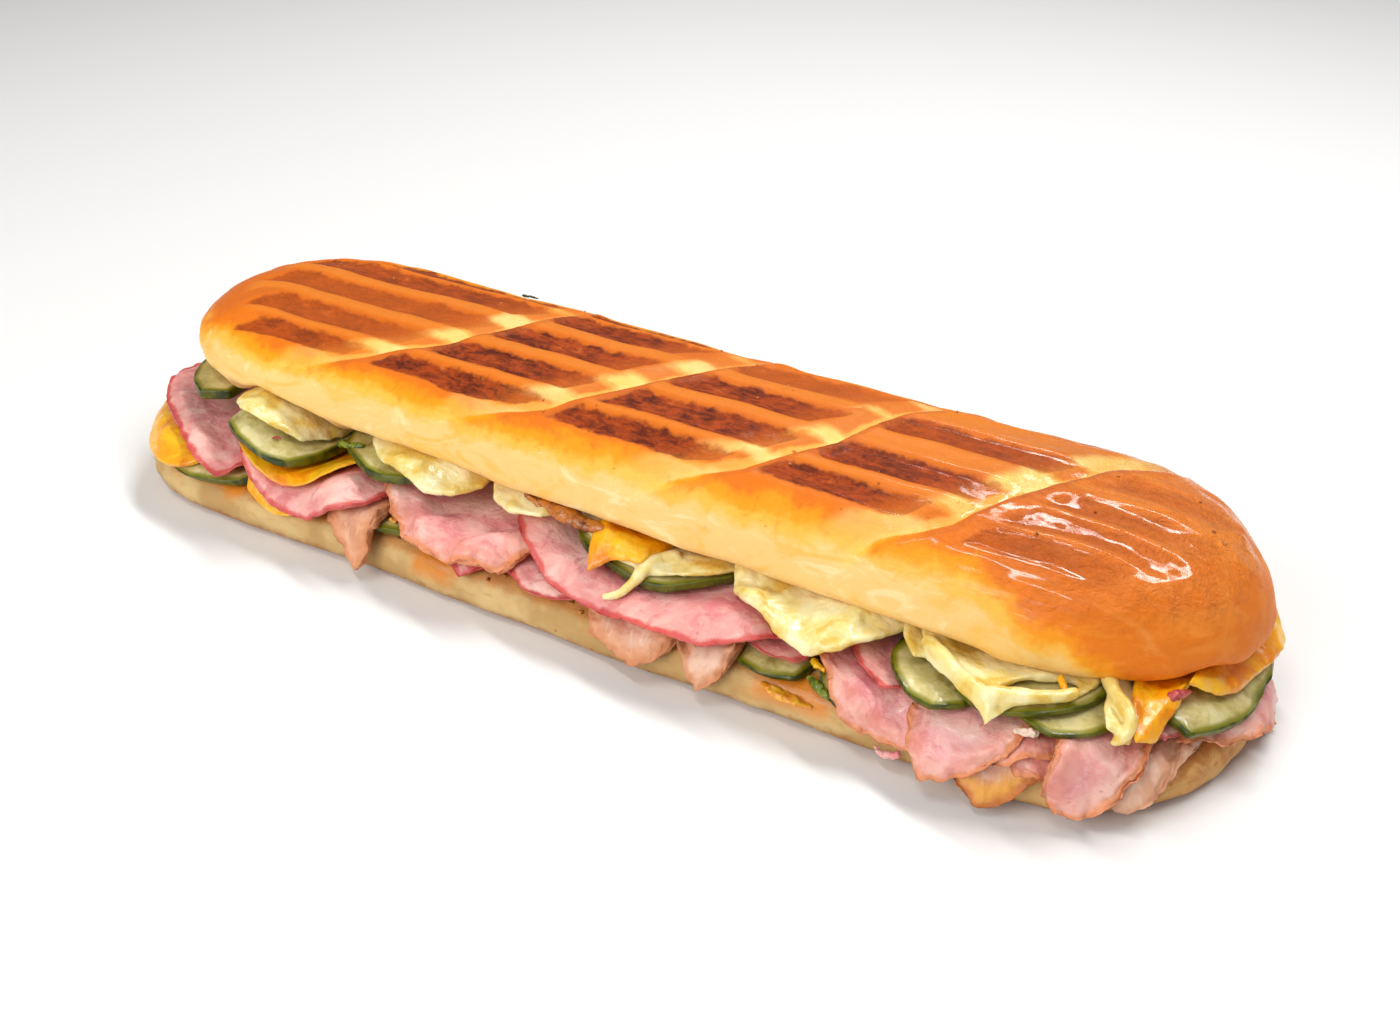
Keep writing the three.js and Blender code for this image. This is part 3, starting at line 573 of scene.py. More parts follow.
def crust_finish():
    f = Finish("crust_finish", Subsurface_Weight=0.1, Subsurface_Radius=(1.0, 0.5, 0.25),
               Specular_IOR_Level=0.2, Coat_Roughness=0.09)
    x = f.axis("X")
    dark, lane = f.attribute("dark"), f.attribute("lane")
    coarse = f.noise(11, 3, 0.6)
    fine = f.noise(2.2, 4, 0.65)
    rise = f.attribute("rise") + (coarse - 0.5) * 0.26 + (fine - 0.5) * 0.06
    right_end = (x + (coarse - 0.5) * 16).step(82, 140)
    left_end = x.step(-106, -128)
    freckles = f.noise(4.2, 4, 0.65, 0.6)
    toasted = rise + right_end * 0.7 + left_end * 0.4 + (freckles - 0.5) * 0.16
    # the ramp starts with painted shade at the lip, then the crust's own colours by height
    base = f.ramp(toasted, (0.0, LIP_TAN), (0.2, CREAM), (0.46, CREAM), (0.57, BUTTER),
                  (0.68, GOLD), (0.8, AMBER), (0.98, TAN))
    low = rise.step(0.62, 0.45) * (1 - right_end)
    sunny = f.noise(9, 4, 0.6, 1.2, f.stretched((0.6, 1.0, 1.5)))
    ridge = lane.step(-0.2, 1.6) * f.attribute("rise").step(0.8, 0.92)
    base = f.layers(
        base,
        (toasted.step(0.55, 0.95) * right_end * 0.8, END_ORANGE),
        (sunny.step(0.5, 0.66) * low * 0.6, srgb(246, 182, 64)),
        (sunny.step(0.46, 0.34) * low * 0.7, srgb(254, 224, 164)),
        (freckles.step(0.56, 0.7) * rise.step(0.4, 0.75) * 0.35, srgb(206, 104, 28)),
        (sunny.step(0.55, 0.42) * right_end * 0.35, srgb(244, 152, 58)),
        (coarse.step(0.52, 0.66) * right_end * 0.3, srgb(206, 98, 22)),
        (ridge * (0.35 + fine * 0.5) * (1 - right_end), RIDGE))

    # the bars: faint ones have soft borders, dark ones sharp borders and scorched patches
    bar = f.attribute("bar") + (f.noise(4.5, 2, 0.5) - 0.5) * 2.6 + (fine - 0.5) * 1.8
    faint = bar.step(1.6, -2.4)
    inside = faint + (bar.step(0.5, -0.7) - faint) * dark.step(0.25, 0.55)
    streaks = f.noise(1.6, 4, 0.65, 0.8, f.stretched((0.35, 1.0, 1.0)))
    patches = f.noise(6, 3, 0.6, 0.4)
    mottle = (streaks.step(0.42, 0.6) * 0.6 + patches.step(0.42, 0.62) * 0.5).clamped()
    singed_edge = bar.step(-1.2, -0.2) * 0.2
    missed = patches.step(0.4, 0.28) * streaks.step(0.6, 0.45) * 0.6
    sear = f.layers(SEARED, ((mottle + singed_edge).clamped() * dark, SCORCHED),
                    (missed, srgb(208, 104, 36)))
    seared = f.layers(base, (bar.step(3.0, -0.5) * dark * 0.35, TAN),
                      (inside * (dark * 1.15).clamped(), sear))

    # the slashes: paler between the ribs' lanes, with a thin brown line on the torn edge, partly
    # its own browning and partly painted shadow of the torn lip
    slash = f.attribute("slash") + (fine - 0.5) * 1.2 + (coarse - 0.5) * 2.5
    between_lanes = (lane.step(-0.6, 1.2) + (fine - 0.5)).step(0.3, 0.9)
    crossing = (lane + (fine - 0.5) * 1.6).step(-1.9, 0.3)
    left_slope = slash.step(-7.5, -4.0) * (0.2 + 0.8 * crossing)
    cut = slash.step(-2.2, -1.0)
    here = f.attribute("slash_fade") * f.attribute("from_slash").step(12, 9)
    opened = left_slope.higher(cut).lower(slash.step(1.4, 0.4)) * here
    cream_cut = f.layers(srgb(246, 178, 78), (between_lanes, srgb(253, 206, 108)),
                         (coarse.step(0.42, 0.62) * crossing, srgb(255, 220, 134)))
    # the line on the torn edge: partly the skin's own browning, partly painted shadow of the torn
    # lip
    torn_brown = slash.step(1.6, 2.4) * slash.step(4.2, 3.0) * here
    specks = f.cells(5.5).step(0.08, 0.04) * fine.step(0.45, 0.6) * rise.step(0.2, 0.6)
    f.feed("Base Color", f.layers(
        seared,
        (opened * (1 - inside * dark * 0.8), cream_cut),
        (torn_brown * 0.45, srgb(186, 92, 34)),
        (specks * 0.6, SEARED)))

    # the glaze: a patchy clear film on the right end, over fine folds
    glaze = x.step(62, 104) * (rise + (coarse - 0.5) * 0.4).step(0.4, 0.75)
    film = f.noise(2.6, 5, 0.7, 0.8, f.stretched((0.45, 1.0, 1.0))).step(0.4, 0.62)
    f.feed("Coat Weight", 0.03 + glaze * (0.15 + 0.85 * film) * 0.9)
    f.feed("Roughness", 0.54 - glaze * 0.14 + (fine - 0.5) * 0.2 + inside * 0.06)
    wrinkles = f.noise(1.1, 3, 0.6, 0.8)
    folds = f.noise(2.1, 4, 0.65, 0.8, f.stretched((0.5, 1.0, 1.0)))
    skin = f.relief(freckles * 0.6 + sunny * 0.4, 0.6)
    crackle = f.relief(wrinkles * (0.2 + 0.8 * inside + 0.4 * glaze), 0.4, skin)
    f.feed("Normal", f.relief(folds * glaze, 1.0, crackle))
    return f


deliver(crust, crust_finish(), "crust", "top_bread")

# %% [markdown]
# ## The bottom half
# The bottom half is the same bread, cut flat. It lay on the plate too, but most of what shows is
# its soft side and, at the right end, the cut face with its browned rim. It is remeshed like the
# crust and given the slow dents of a soft bun. Oil from the fillings has stained it in four spots.

# %% Bottom half
BASE_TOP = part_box("bottom_bread")[1].z / MM
OIL_SPOTS = [(62, -41, 13), (-30, -41, 9), (97, -44, 6), (-93, -38, 6)]     # x, y and reach


def build_bottom():
    piece = copy_of("bottom_bread", "bottom_bun")
    remesh(piece, 1.0, 0.6, 8)
    points = points_of(piece)
    x, y, z = (points / MM).T
    side = smooth_step(z, 0.5, 3)
    outward = side * (0.7 * lumps(points, 17, 11) + 0.35 * lumps(points, 5, 12))
    outward += 0.3 * side * lumps(points * (1, 1, 0.3), 3.2, 13)
    move_points(piece, pushed_out(piece, points, outward))
    oil = np.zeros(len(points))
    for spot_x, spot_y, reach in OIL_SPOTS:
        oil = np.maximum(oil, 1 - np.hypot(x - spot_x, 1.5 * (y - spot_y)) / reach)
    paint(piece, "level", z / BASE_TOP)
    paint(piece, "oil", oil)
    print("bottom faces:", len(piece.data.polygons))
    return piece


def bottom_finish():
    f = Finish("bottom_bun_finish", Subsurface_Weight=0.08, Subsurface_Radius=(1.0, 0.6, 0.35),
               Specular_IOR_Level=0.35)
    level = f.attribute("level")
    coarse = f.noise(16, 3, 0.6)
    fine = f.noise(3, 4, 0.7)
    wrinkles = f.noise(2.2, 4, 0.65, 0.4, f.stretched((0.3, 0.3, 1.0)))
    right_end = f.axis("X").step(100, 135)
    face = level.step(0.9, 0.985)
    toasted_rim = (level + (fine - 0.5) * 0.25).step(0.72, 0.88) * level.step(0.998, 0.95)
    browned = right_end * level.step(0.1, 0.7) * f.noise(5, 4, 0.65, 0.6).step(0.4, 0.6)
    speckle = f.cells(3.1).step(0.2, 0.08) * fine.step(0.5, 0.62)
    spots = f.attribute("oil") + (f.noise(6, 3, 0.5, 0.5) - 0.5) * 0.9
    stain = spots.step(0.0, 0.6) * level.step(0.25, 0.7)
    crumb = f.blend(fine.step(0.4, 0.62), srgb(242, 204, 130), srgb(216, 156, 78))
    # the bun's colours are kept darker overall: partly its own colour, partly painted shade for the
    # little light that reaches it low down
    f.feed("Base Color", f.layers(
        srgb(214, 182, 124),
        (coarse.step(0.38, 0.62), srgb(188, 150, 92)),
        (right_end * 0.7, srgb(222, 164, 92)),
        (wrinkles.step(0.52, 0.72) * 0.5, srgb(186, 142, 80)),
        # darker towards the floor: partly the browned lower crust, partly painted contact shade
        ((level + (fine - 0.5) * 0.5).step(0.36, 0.02), srgb(164, 106, 50)),
        (face, crumb),
        (toasted_rim * 0.7, srgb(196, 122, 50)),
        (browned * 0.75, srgb(184, 108, 44)),
        (speckle * 0.7, srgb(150, 84, 34)),
        (stain * 0.85, srgb(218, 128, 26))))
    f.feed("Roughness", 0.7 - stain * 0.45)
    pores = f.cells(2.6).step(0.36, 0.1) * face
    soft = f.relief(fine * 0.5 + wrinkles * 0.5, 0.5)
    f.feed("Normal", f.relief(1 - pores, 0.9, soft))
    return f


bottom = build_bottom()
deliver(bottom, bottom_finish(), "bread", "bottom_bread")

# %% [markdown]
# ## Slices
# All fillings start the same way. A copy of the solid has a flat upper skin, a flat lower skin and
# a wall of narrow faces round its cut edge. Subdivision would round that wall away and make the
# slice smaller, so its edges are creased first. A face belongs to the wall if it looks sideways
# along the slice. Which way is up on a slice depends on where it lies: straight up inside the roll,
# and outwards where the slice bends over the roll's edge and hangs.

# %% Which way is up on a slice
SPINE_END = 104          # millimetres: the roll's straight middle ends here
BEND_START = 37          # slices start to bend this far from the roll's spine
BEND_RADIUS = 5.9
BASE_HEIGHT = 11
STEEPEST_HANG = 76       # degrees, for a slice at the bottom of the stack
HANG_LOST = 2            # degrees less for each millimetre that a slice lies higher
LEAST_HANG = 30


def upward(points):
    """For each point in millimetres, the direction out of the slice that lies there."""
    x, y, z = points.T
    from_spine = np.stack([x - np.clip(x, -SPINE_END, SPINE_END), y], axis=1)
    reach = np.linalg.norm(from_spine, axis=1) + 1e-9
    beyond = np.maximum(reach - BEND_START, 0)
    over = z - (BASE_HEIGHT - BEND_RADIUS)
    steepest = math.radians(60)
    for _ in range(4):      # each round gives a better height, and that a better slope
        turn = np.minimum(np.arctan2(beyond, over), steepest)
        height = (reach - BEND_START) * np.sin(turn) + over * np.cos(turn) - BEND_RADIUS
        steepest = np.radians(np.maximum(LEAST_HANG, STEEPEST_HANG - HANG_LOST * height))
    outward = from_spine / reach[:, None] * np.sin(turn)[:, None]
    return np.column_stack([outward, np.cos(turn)])


# %% Find and crease a slice's cut edge
WALL_LIMIT = 0.45        # a wall's normal has less of the upward direction in it than this
CORNER = math.radians(38)      # the outline keeps its corners where it turns more than this


def wall_of(mesh):
    """The numbers of the faces round the slice's cut edge."""
    centres = np.array([face.center for face in mesh.polygons]) / MM
    normals = np.array([face.normal for face in mesh.polygons])
    sideways = np.abs((normals * upward(centres)).sum(axis=1)) < WALL_LIMIT
    return set(np.flatnonzero(sideways))


def crease_edges(mesh, walls, crease):
    """Creases the edges between the wall and the two skins, and the outline's sharp corners."""
    uses = {}
    for face in mesh.polygons:
        for key in face.edge_keys:
            uses.setdefault(key, []).append(face)
    values = []
    for edge in mesh.edges:
        faces = uses[tuple(sorted(edge.vertices))]
        on_wall = [face.index in walls for face in faces]
        value = crease if on_wall.count(True) == 1 else 0.0
        if on_wall.count(True) == 2 and faces[0].normal.angle(faces[1].normal, 0) > CORNER:
            value = 0.8 * crease
        values.append(value)
    creases = mesh.attributes.new("crease_edge", "FLOAT", "EDGE")
    creases.data.foreach_set("value", values)
    sharp = mesh.attributes.new("sharp_edge", "BOOLEAN", "EDGE")
    sharp.data.foreach_set("value", [value > 0 for value in values])


# %% [markdown]
# The rim distance is the most useful number on a slice: the casing of ham, the rind of pickle and
# a roasted edge are all bands along the cut edge. It is measured once, on the finished mesh, and
# painted on it for the materials. Everything that bends a slice uses noise taken at places in the
# roll, not on the slice, so slices that lie on each other bend together and don't cut through.

# %% Build a slice
ROLL_SIDES = (24, 36)    # a slice lies flat inside the roll and is free outside: the change, in y
ROLL_ENDS = (112, 124)   # and the same in x
ROLL_WAVES = (15, 31)    # size and seed of the waves that slices and melted cheese share


def build_slice(node, crease, ragged, rag_size, waves, thin=0.0, folds=()):
    """A slice with a crisp edge: subdivided, thinned and torn at its rim, waved and folded."""
    piece = copy_of(node, node.replace("_", "-"))
    mesh = piece.data
    walls = wall_of(mesh)
    corners = [vertex.co.copy() for vertex in mesh.vertices]
    tree = BVHTree.FromPolygons(corners, [tuple(mesh.polygons[k].vertices) for k in walls])
    crease_edges(mesh, walls, crease)
    bpy.ops.object.mode_set(mode="EDIT")
    bpy.ops.mesh.select_all(action="SELECT")
    flat_enough = math.radians(60)
    bpy.ops.mesh.tris_convert_to_quads(face_threshold=flat_enough, shape_threshold=flat_enough,
                                       sharp=True)
    bpy.ops.object.mode_set(mode="OBJECT")
    finish_with(piece, "SUBSURF", levels=3, render_levels=3)
    piece.data.attributes.remove(piece.data.attributes["sharp_edge"])
    points = points_of(piece)
    rim = np.array([tree.find_nearest(Vector(point))[3] for point in points]) / MM
    up = upward(points / MM)
    upper = (normals_of(piece) * up).sum(axis=1)
    moved = points - thin * MM * (upper * (1 - smooth_step(rim, 0.3, 3.5)))[:, None] * up

    x, y, _ = (points / MM).T
    outside = smooth_step(np.abs(y), *ROLL_SIDES) + smooth_step(np.abs(x), *ROLL_ENDS)
    outside = np.minimum(outside, 1)
    lift = waves * 0.35 * lumps(points, 6, 34) + waves * 0.12 * lumps(points, 2.6, 35)
    lift += waves * 0.8 * lumps(points, 9, 36) * (1 - smooth_step(rim, 0.5, 5))
    for line, height, width in folds:
        distance, _ = signed_distance(x, y, line)
        gentle = np.exp(-(np.minimum(distance, 0) / width) ** 2)
        steep = np.exp(-(np.maximum(distance, 0) / (0.4 * width)) ** 2)
        lift += height * np.minimum(gentle, steep)
    moved += MM * (outside * lift)[:, None] * up
    moved += waves * MM * shifts(points, *ROLL_WAVES) * outside[:, None]
    torn = shifts(points, rag_size, 21) + 0.5 * shifts(points, 0.4 * rag_size, 24)
    moved += ragged * MM * torn * (1 - smooth_step(rim, 0.5, 4))[:, None]
    moved[:, 2] = np.maximum(moved[:, 2], 0.3 * MM)
    move_points(piece, moved)
    paint(piece, "rim", rim)
    return piece


# %% [markdown]
# ## Ham
# Sliced ham is pink and wet, with paler seams of fat between its muscles. Some slices keep the red
# casing along their edge, others have an edge browned by the press. Both are the same meat, so one
# function makes both materials and only the band along the rim differs. A few slices were laid in
# folds. A fold is a line on the plan with a height: gentle on one side and steep on the other.

# %% Ham materials
BAND_WIDTH = 1.7


def ham_finish(name, band, dark_band, warmth):
    f = Finish(name, Subsurface_Weight=0.15, Subsurface_Radius=(1.0, 0.45, 0.4),
               Coat_Roughness=0.15)
    coarse = f.noise(14, 3, 0.55, 0.7)
    swirl = f.noise(6.5, 3, 0.55, 1.4)
    grain = f.noise(1.7, 4, 0.65, 0.4, f.stretched((0.5, 1.0, 1.0)))
    rim = f.attribute("rim") + (f.noise(3.5, 3) - 0.5) * 1.8
    f.feed("Base Color", f.layers(
        f.mottled(coarse, srgb(222, 130, 134), srgb(236, 160, 156), srgb(246, 192, 180)),
        (swirl.step(0.5, 0.62) * 0.5, srgb(244, 190, 178)),
        (swirl.step(0.44, 0.34) * 0.5, srgb(200, 100, 108)),
        (grain.step(0.52, 0.7) * 0.35, srgb(248, 204, 192)),
        (f.cells(2.6).step(0.24, 0.1) * grain.step(0.5, 0.6) * 0.5, srgb(190, 84, 92)),
        ((rim + (coarse - 0.5) * 14).step(7, 1) * warmth, srgb(238, 160, 112)),
        (rim.step(BAND_WIDTH, 0.4 * BAND_WIDTH) * 0.85, band),
        (rim.step(0.5, -0.2) * grain.step(0.4, 0.6), dark_band)))
    f.feed("Roughness", 0.36 + grain * 0.25)
    f.feed("Coat Weight", swirl.step(0.4, 0.6) * 0.4)
    dimples = f.relief(f.noise(3.5, 3, 0.6), 0.5)
    f.feed("Normal", f.relief(grain, 0.2, dimples))
    return f


cased_ham = ham_finish("ham_with_casing", srgb(206, 58, 54), srgb(160, 36, 36), 0.15)
roasted_ham = ham_finish("ham_with_roasted_edge", srgb(232, 140, 84), srgb(176, 88, 42), 0.35)

HAM_CASED = ["ham_" + letter for letter in "abdefgm"]
HAM_ROASTED = ["ham_" + letter for letter in "chijkl"]
# for some slices the folds: a line on the plan, its height and its width, millimetres
FOLDS = {
    "ham_a": [([(-123, -24), (-114, -30), (-106, -36)], 1.2, 4)],
    "ham_c": [([(-42, -26), (-37, -34), (-31, -42)], 1.6, 4),
              ([(-19, -26), (-27, -33), (-35, -39)], 1.3, 5),
              ([(-8, -27), (-13, -34), (-20, -42)], 1.8, 4)],
    "ham_e": [([(6, -26), (12, -34), (22, -42)], 1.0, 6)],
    "ham_h": [([(80, -30), (90, -38), (104, -45)], 1.3, 6)],
    "ham_k": [([(118, -40), (126, -34), (134, -27)], 1.3, 5)],
    "ham_l": [([(132, -22), (138, -14), (146, -6)], 1.0, 4)],
}

for node in HAM_CASED + HAM_ROASTED:
    cased = node in HAM_CASED
    ham = build_slice(node, crease=0.95, ragged=0.45 if cased else 0.9, rag_size=3.2, waves=1.2,
                      thin=0.35, folds=FOLDS.get(node, ()))
    deliver(ham, cased_ham if cased else roasted_ham, "ham", node)
print("ham slices:", len(HAM_CASED + HAM_ROASTED), "faces of the last:", len(ham.data.polygons))

# %% [markdown]
# ## Roast pork
# The pork is dry and pale beside the ham. Its fibres run along the slice, and the torn ends that
# hang out were roasted brown.

# %% Pork
def pork_finish(name, edge, edge_share):
    f = Finish(name, Subsurface_Weight=0.12, Subsurface_Radius=(1.0, 0.5, 0.35))
    fibres = f.noise(1.5, 4, 0.6, 0.3, f.stretched((1.0, 0.3, 0.3)))
    coarse = f.noise(9, 3, 0.6, 0.5)
    rim = f.attribute("rim") + (f.noise(3, 3) - 0.5) * 2.6
    f.feed("Base Color", f.layers(
        f.mottled(coarse, srgb(204, 136, 110), srgb(222, 166, 138), srgb(238, 196, 170)),
        (fibres.step(0.5, 0.68) * 0.5, srgb(242, 210, 182)),
        ((rim + (coarse - 0.5) * 10).step(6, 1) * edge_share, edge),
        (rim.step(2.4, 0.4) * 1.3 * edge_share, srgb(200, 112, 48)),
        (rim.step(0.4, -0.4) * 1.4 * edge_share, srgb(128, 60, 26))))
    f.feed("Roughness", 0.4 + fibres * 0.3)
    f.feed("Normal", f.relief(fibres, 0.35, f.relief(f.noise(3.5, 3), 0.4)))
    return f


roast_pork = pork_finish("roast_pork", srgb(230, 156, 88), 0.42)
buttered_pork = pork_finish("buttered_pork", srgb(240, 168, 48), 0.8)
pale_pork = pork_finish("pale_pork", srgb(222, 176, 128), 0.25)
PORK = {"a": roast_pork, "b": roast_pork, "c": roast_pork, "d": buttered_pork, "e": pale_pork}
for letter, look in PORK.items():
    node = "pork_" + letter
    pork = build_slice(node, crease=0.95, ragged=0.7, rag_size=3, waves=1.2, thin=0.3)
    deliver(pork, look, "pork", node)

# %% [markdown]
# ## Pickles
# A long slice of pickled cucumber has three parts: a dark skin, a thin green layer under it, and
# pale wet flesh with seeds. All follow the distance from the rim.

# %% Pickles
def pickle_finish():
    f = Finish("pickle", Subsurface_Weight=0.12, Subsurface_Radius=(1.0, 0.9, 0.5),
               Specular_IOR_Level=0.35, Coat_Roughness=0.12)
    rim = f.attribute("rim") + (f.noise(5, 2) - 0.5) * 0.6
    soft = f.noise(6, 3, 0.6)
    veins = f.noise(2.2, 3, 0.6, 0.8)
    seeds = f.cells(3.4).step(0.34, 0.2) * soft.step(0.45, 0.6)
    flesh = f.layers(
        f.mottled(soft, srgb(166, 150, 80), srgb(196, 182, 112), srgb(214, 202, 142)),
        (veins.step(0.5, 0.66) * 0.35, srgb(222, 210, 158)),
        (seeds * 0.5, srgb(226, 216, 166)))
    skin = f.layers(
        srgb(44, 56, 0),
        (f.noise(9, 3, 0.6).step(0.42, 0.6), srgb(98, 100, 2)),
        (veins.step(0.58, 0.7) * 0.5, srgb(120, 120, 22)))
    f.feed("Base Color", f.ramp(rim, (0.35, skin), (0.9, srgb(132, 128, 24)), (2.0, flesh)))
    f.feed("Roughness", 0.26 + soft * 0.25)
    f.feed("Coat Weight", veins.step(0.45, 0.6) * 0.4)
    f.feed("Normal", f.relief(soft * 0.6 + veins * 0.4, 0.5))
    return f


pickle_look = pickle_finish()
PICKLES = ["pickle_low_" + letter for letter in "abcd"]
PICKLES += ["pickle_up_" + letter for letter in "abcdefgh"]
for node in PICKLES:
    pickle = build_slice(node, crease=0.75, ragged=0.12, rag_size=6, waves=0.8)
    deliver(pickle, pickle_look, "pickle", node)

# %% [markdown]
# ## The two cheeses
# Heat has softened both. Where the yellow one still keeps its slice shape, it is built like the
# other slices. Where cheese ran, it has lost its cut edge and become lumps, arms and strings. So a
# melted piece starts as a copy of its solid, gets round strings of cheese joined to it, and is
# then remeshed into one skin. Smoothing and noise turn that skin into a soft lumpy mass. Holes for
# a pickle that shows through are cut out first, with an egg shape.

# %% Cheese strings and melted pieces
def string_of_cheese(path, radii):
    """A closed string along a path, thicker and thinner as it goes. All in millimetres."""
    curve = bpy.data.curves.new("string", "CURVE")
    curve.dimensions = "3D"
    curve.bevel_depth = MM
    curve.use_fill_caps = True
    spline = curve.splines.new("NURBS")
    spline.points.add(len(path) - 1)
    for point, place, radius in zip(spline.points, path, radii):
        point.co = tuple(value * MM for value in place) + (1.0,)
        point.radius = radius
    spline.order_u = 3
    spline.use_endpoint_u = True
    string = bpy.data.objects.new("string", curve)
    bpy.context.scene.collection.objects.link(string)
    select_only(string)
    bpy.ops.object.convert(target="MESH")
    return bpy.context.active_object


def cut_hole(piece, place, size, turn):
    """Cuts an egg-shaped hole: middle and half sizes in millimetres, heading in degrees."""
    bpy.ops.object.select_all(action="DESELECT")
    bpy.ops.mesh.primitive_uv_sphere_add(segments=32, ring_count=16, radius=MM,
                                         location=[value * MM for value in place],
                                         rotation=(0, 0, math.radians(turn)), scale=size)
    egg = bpy.context.active_object
    finish_with(piece, "BOOLEAN", operation="DIFFERENCE", object=egg)
    select_only(egg)
    bpy.ops.object.delete()


def build_melt(node, strings=(), holes=(), lumpy=0.5, swollen=0.45, smoothing=10):
    """A melted piece: swollen, with strings joined and holes cut, made one skin and lumpy."""
    piece = copy_of(node, node.replace("_", "-"))
    finish_with(piece, "DISPLACE", strength=swollen * MM, mid_level=0)
    for hole in holes:
        cut_hole(piece, *hole)
    parts = [string_of_cheese(path, radii) for path, radii in strings]
    if parts:
        select_only(piece, *parts)
        bpy.ops.object.join()
    remesh(piece, 0.45, 0.6, smoothing)
    points = points_of(piece)
    rough = lumps(points, 7, 41) + 0.6 * lumps(points, 3.2, 42) + 0.2 * lumps(points, 1.4, 43)
    moved = pushed_out(piece, points, lumpy * rough) + 0.8 * MM * shifts(points, *ROLL_WAVES)
    move_points(piece, moved)
    finish_with(piece, "SMOOTH", factor=0.5, iterations=2)
    return piece


# %% Cheeses
def cheese_finish(name, thick, middle, thin, shine):
    f = Finish(name, Subsurface_Weight=0.2, Subsurface_Radius=(1.0, 0.85, 0.6), Coat_Roughness=0.1)
    coarse = f.noise(8, 3, 0.55, 0.5)
    fine = f.noise(2.4, 3, 0.6, 0.5)
    colour = f.ramp(coarse + (fine - 0.5) * 0.2, (0.36, thin), (0.48, middle), (0.6, thick))
    f.feed("Base Color", colour)
    f.feed("Roughness", 0.2 + coarse * 0.25)
    f.feed("Coat Weight", fine.step(0.35, 0.6) * shine)
    f.feed("Normal", f.relief(fine, 0.3, f.relief(f.noise(4, 3), 0.5)))
    return f


cheddar_look = cheese_finish("cheddar", srgb(252, 188, 20), srgb(248, 166, 8),
                             srgb(232, 136, 2), 0.4)
white_look = cheese_finish("melted_white", srgb(248, 234, 176), srgb(240, 218, 138),
                           srgb(228, 192, 88), 0.6)

for letter in "abcdef":
    node = "cheddar_" + letter
    if letter in "abc":
        cheddar = build_slice(node, crease=0.6, ragged=0.3, rag_size=6, waves=0.8)
    else:
        cheddar = build_melt(node, lumpy=0.35)
    deliver(cheddar, cheddar_look, "cheddar", node)

# for some pieces the strings, each as a path and its radii, and the holes
MELT_STRINGS = {
    "melt_d": [([(28, -26, 22.2), (24, -29, 21.8), (22.6, -33, 20.8), (21.6, -36.5, 18.8),
                 (20, -39.2, 17.4), (17, -40.6, 16.9)], [1.5, 1.8, 1.5, 1.1, 1.0, 0.7])],
    "melt_g": [([(103, -39.5, 23.2), (104, -42.4, 21.8), (104.3, -43.8, 19.2)], [2.0, 1.1, 0.5]),
               ([(86, -28.5, 23), (91.8, -34, 23.4), (97, -37.5, 23.5), (102.4, -40, 23.2)],
                [1.6, 1.7, 1.8, 2.2]),
               ([(102.4, -40, 23.2), (107.8, -37.8, 23.8), (113, -34.6, 23.8), (117, -30, 24)],
                [2.2, 1.8, 1.6, 1.0])],
    "melt_h": [([(120, -22, 23.4), (123, -26.5, 23.2), (126.5, -29, 22.6), (128, -31.5, 21),
                 (127, -33.5, 18.6), (124.8, -33.5, 17.2)], [1.8, 1.6, 1.4, 1.3, 1.2, 0.7])],
}
MELT_HOLES = {"melt_g": [((110, -31.6, 23.4), (8, 2.6, 5), 42)]}
# the thick lump right of the middle swells more than the others, and runs rounder
MELT_BODIES = {"melt_e": {"lumpy": 1.0, "swollen": 1.0, "smoothing": 34}}
for letter in "abcdefgh":
    node = "melt_" + letter
    melt = build_melt(node, MELT_STRINGS.get(node, ()), MELT_HOLES.get(node, ()),
                      **MELT_BODIES.get(node, {}))
    deliver(melt, white_look, "melt", node)
    print(node, "faces:", len(melt.data.polygons))

# %% [markdown]
# ## Bits between the slices
# A hot sandwich is never clean. Cheese that touched the plate fried into a brown crisp skirt under
# the crust, shreds of ham and pickle stuck in the melted cheese, mustard ran out in drops, and one
# piece of herb lies on the crust. Each of them is a short lumpy string, made like the cheese
# strings: a path, a thickness, then remeshing and noise.

# %% Make the bits
FAR_FROM_RIM = 8.0       # a shred looks like a slice's middle, without the band along the rim


def build_bit(name, path, radii, rough, flat=1.0):
    """A lumpy string: rough is the height of its lumps, flat squeezes it along Z, each 0 to 1."""
    bit = string_of_cheese(path, radii)
    bit.name = name
    bit.data.name = name
    remesh(bit, 0.25, 0.5, 4)
    points = points_of(bit)
    middle = points.mean(axis=0)
    points[:, 2] = middle[2] + (points[:, 2] - middle[2]) * flat
    thick = max(radii)
    bumps = lumps(points, 1.5 * thick, 51) + 0.6 * lumps(points, 0.6 * thick, 52)
    move_points(bit, pushed_out(bit, points, rough * thick * bumps))
    paint(bit, "rim", np.full(len(points), FAR_FROM_RIM))
    return bit


def bit_finish(name, light, dark, size, roughness, shine=0.0):
    """A finish for a small bit: two colours in patches of a size in millimetres."""
    f = Finish(name, Coat_Roughness=0.1)
    patches = f.noise(size, 4, 0.65, 0.5)
    f.feed("Base Color", f.blend(patches.step(0.4, 0.6), dark, light))
    f.feed("Roughness", roughness + patches * 0.2)
    f.feed("Coat Weight", patches.step(0.4, 0.55) * shine)
    f.feed("Normal", f.relief(patches, 0.5))
    return f


fried_look = bit_finish("fried_cheese", srgb(192, 108, 16), srgb(106, 44, 4), 4.5, 0.25, 0.6)
mustard_look = bit_finish("mustard", srgb(244, 178, 36), srgb(224, 136, 20), 2.0, 0.2, 0.5)
green_look = bit_finish("pickle_shred", srgb(132, 146, 34), srgb(62, 82, 8), 2.5, 0.25, 0.4)
fat_look = bit_finish("ham_fat", srgb(240, 214, 188), srgb(216, 160, 140), 2.0, 0.3, 0.3)
herb_look = bit_finish("dried_herb", srgb(86, 84, 34), srgb(44, 46, 16), 1.2, 0.6)
red_look = bit_finish("ham_casing", srgb(206, 92, 92), srgb(160, 52, 56), 2.0, 0.3, 0.3)

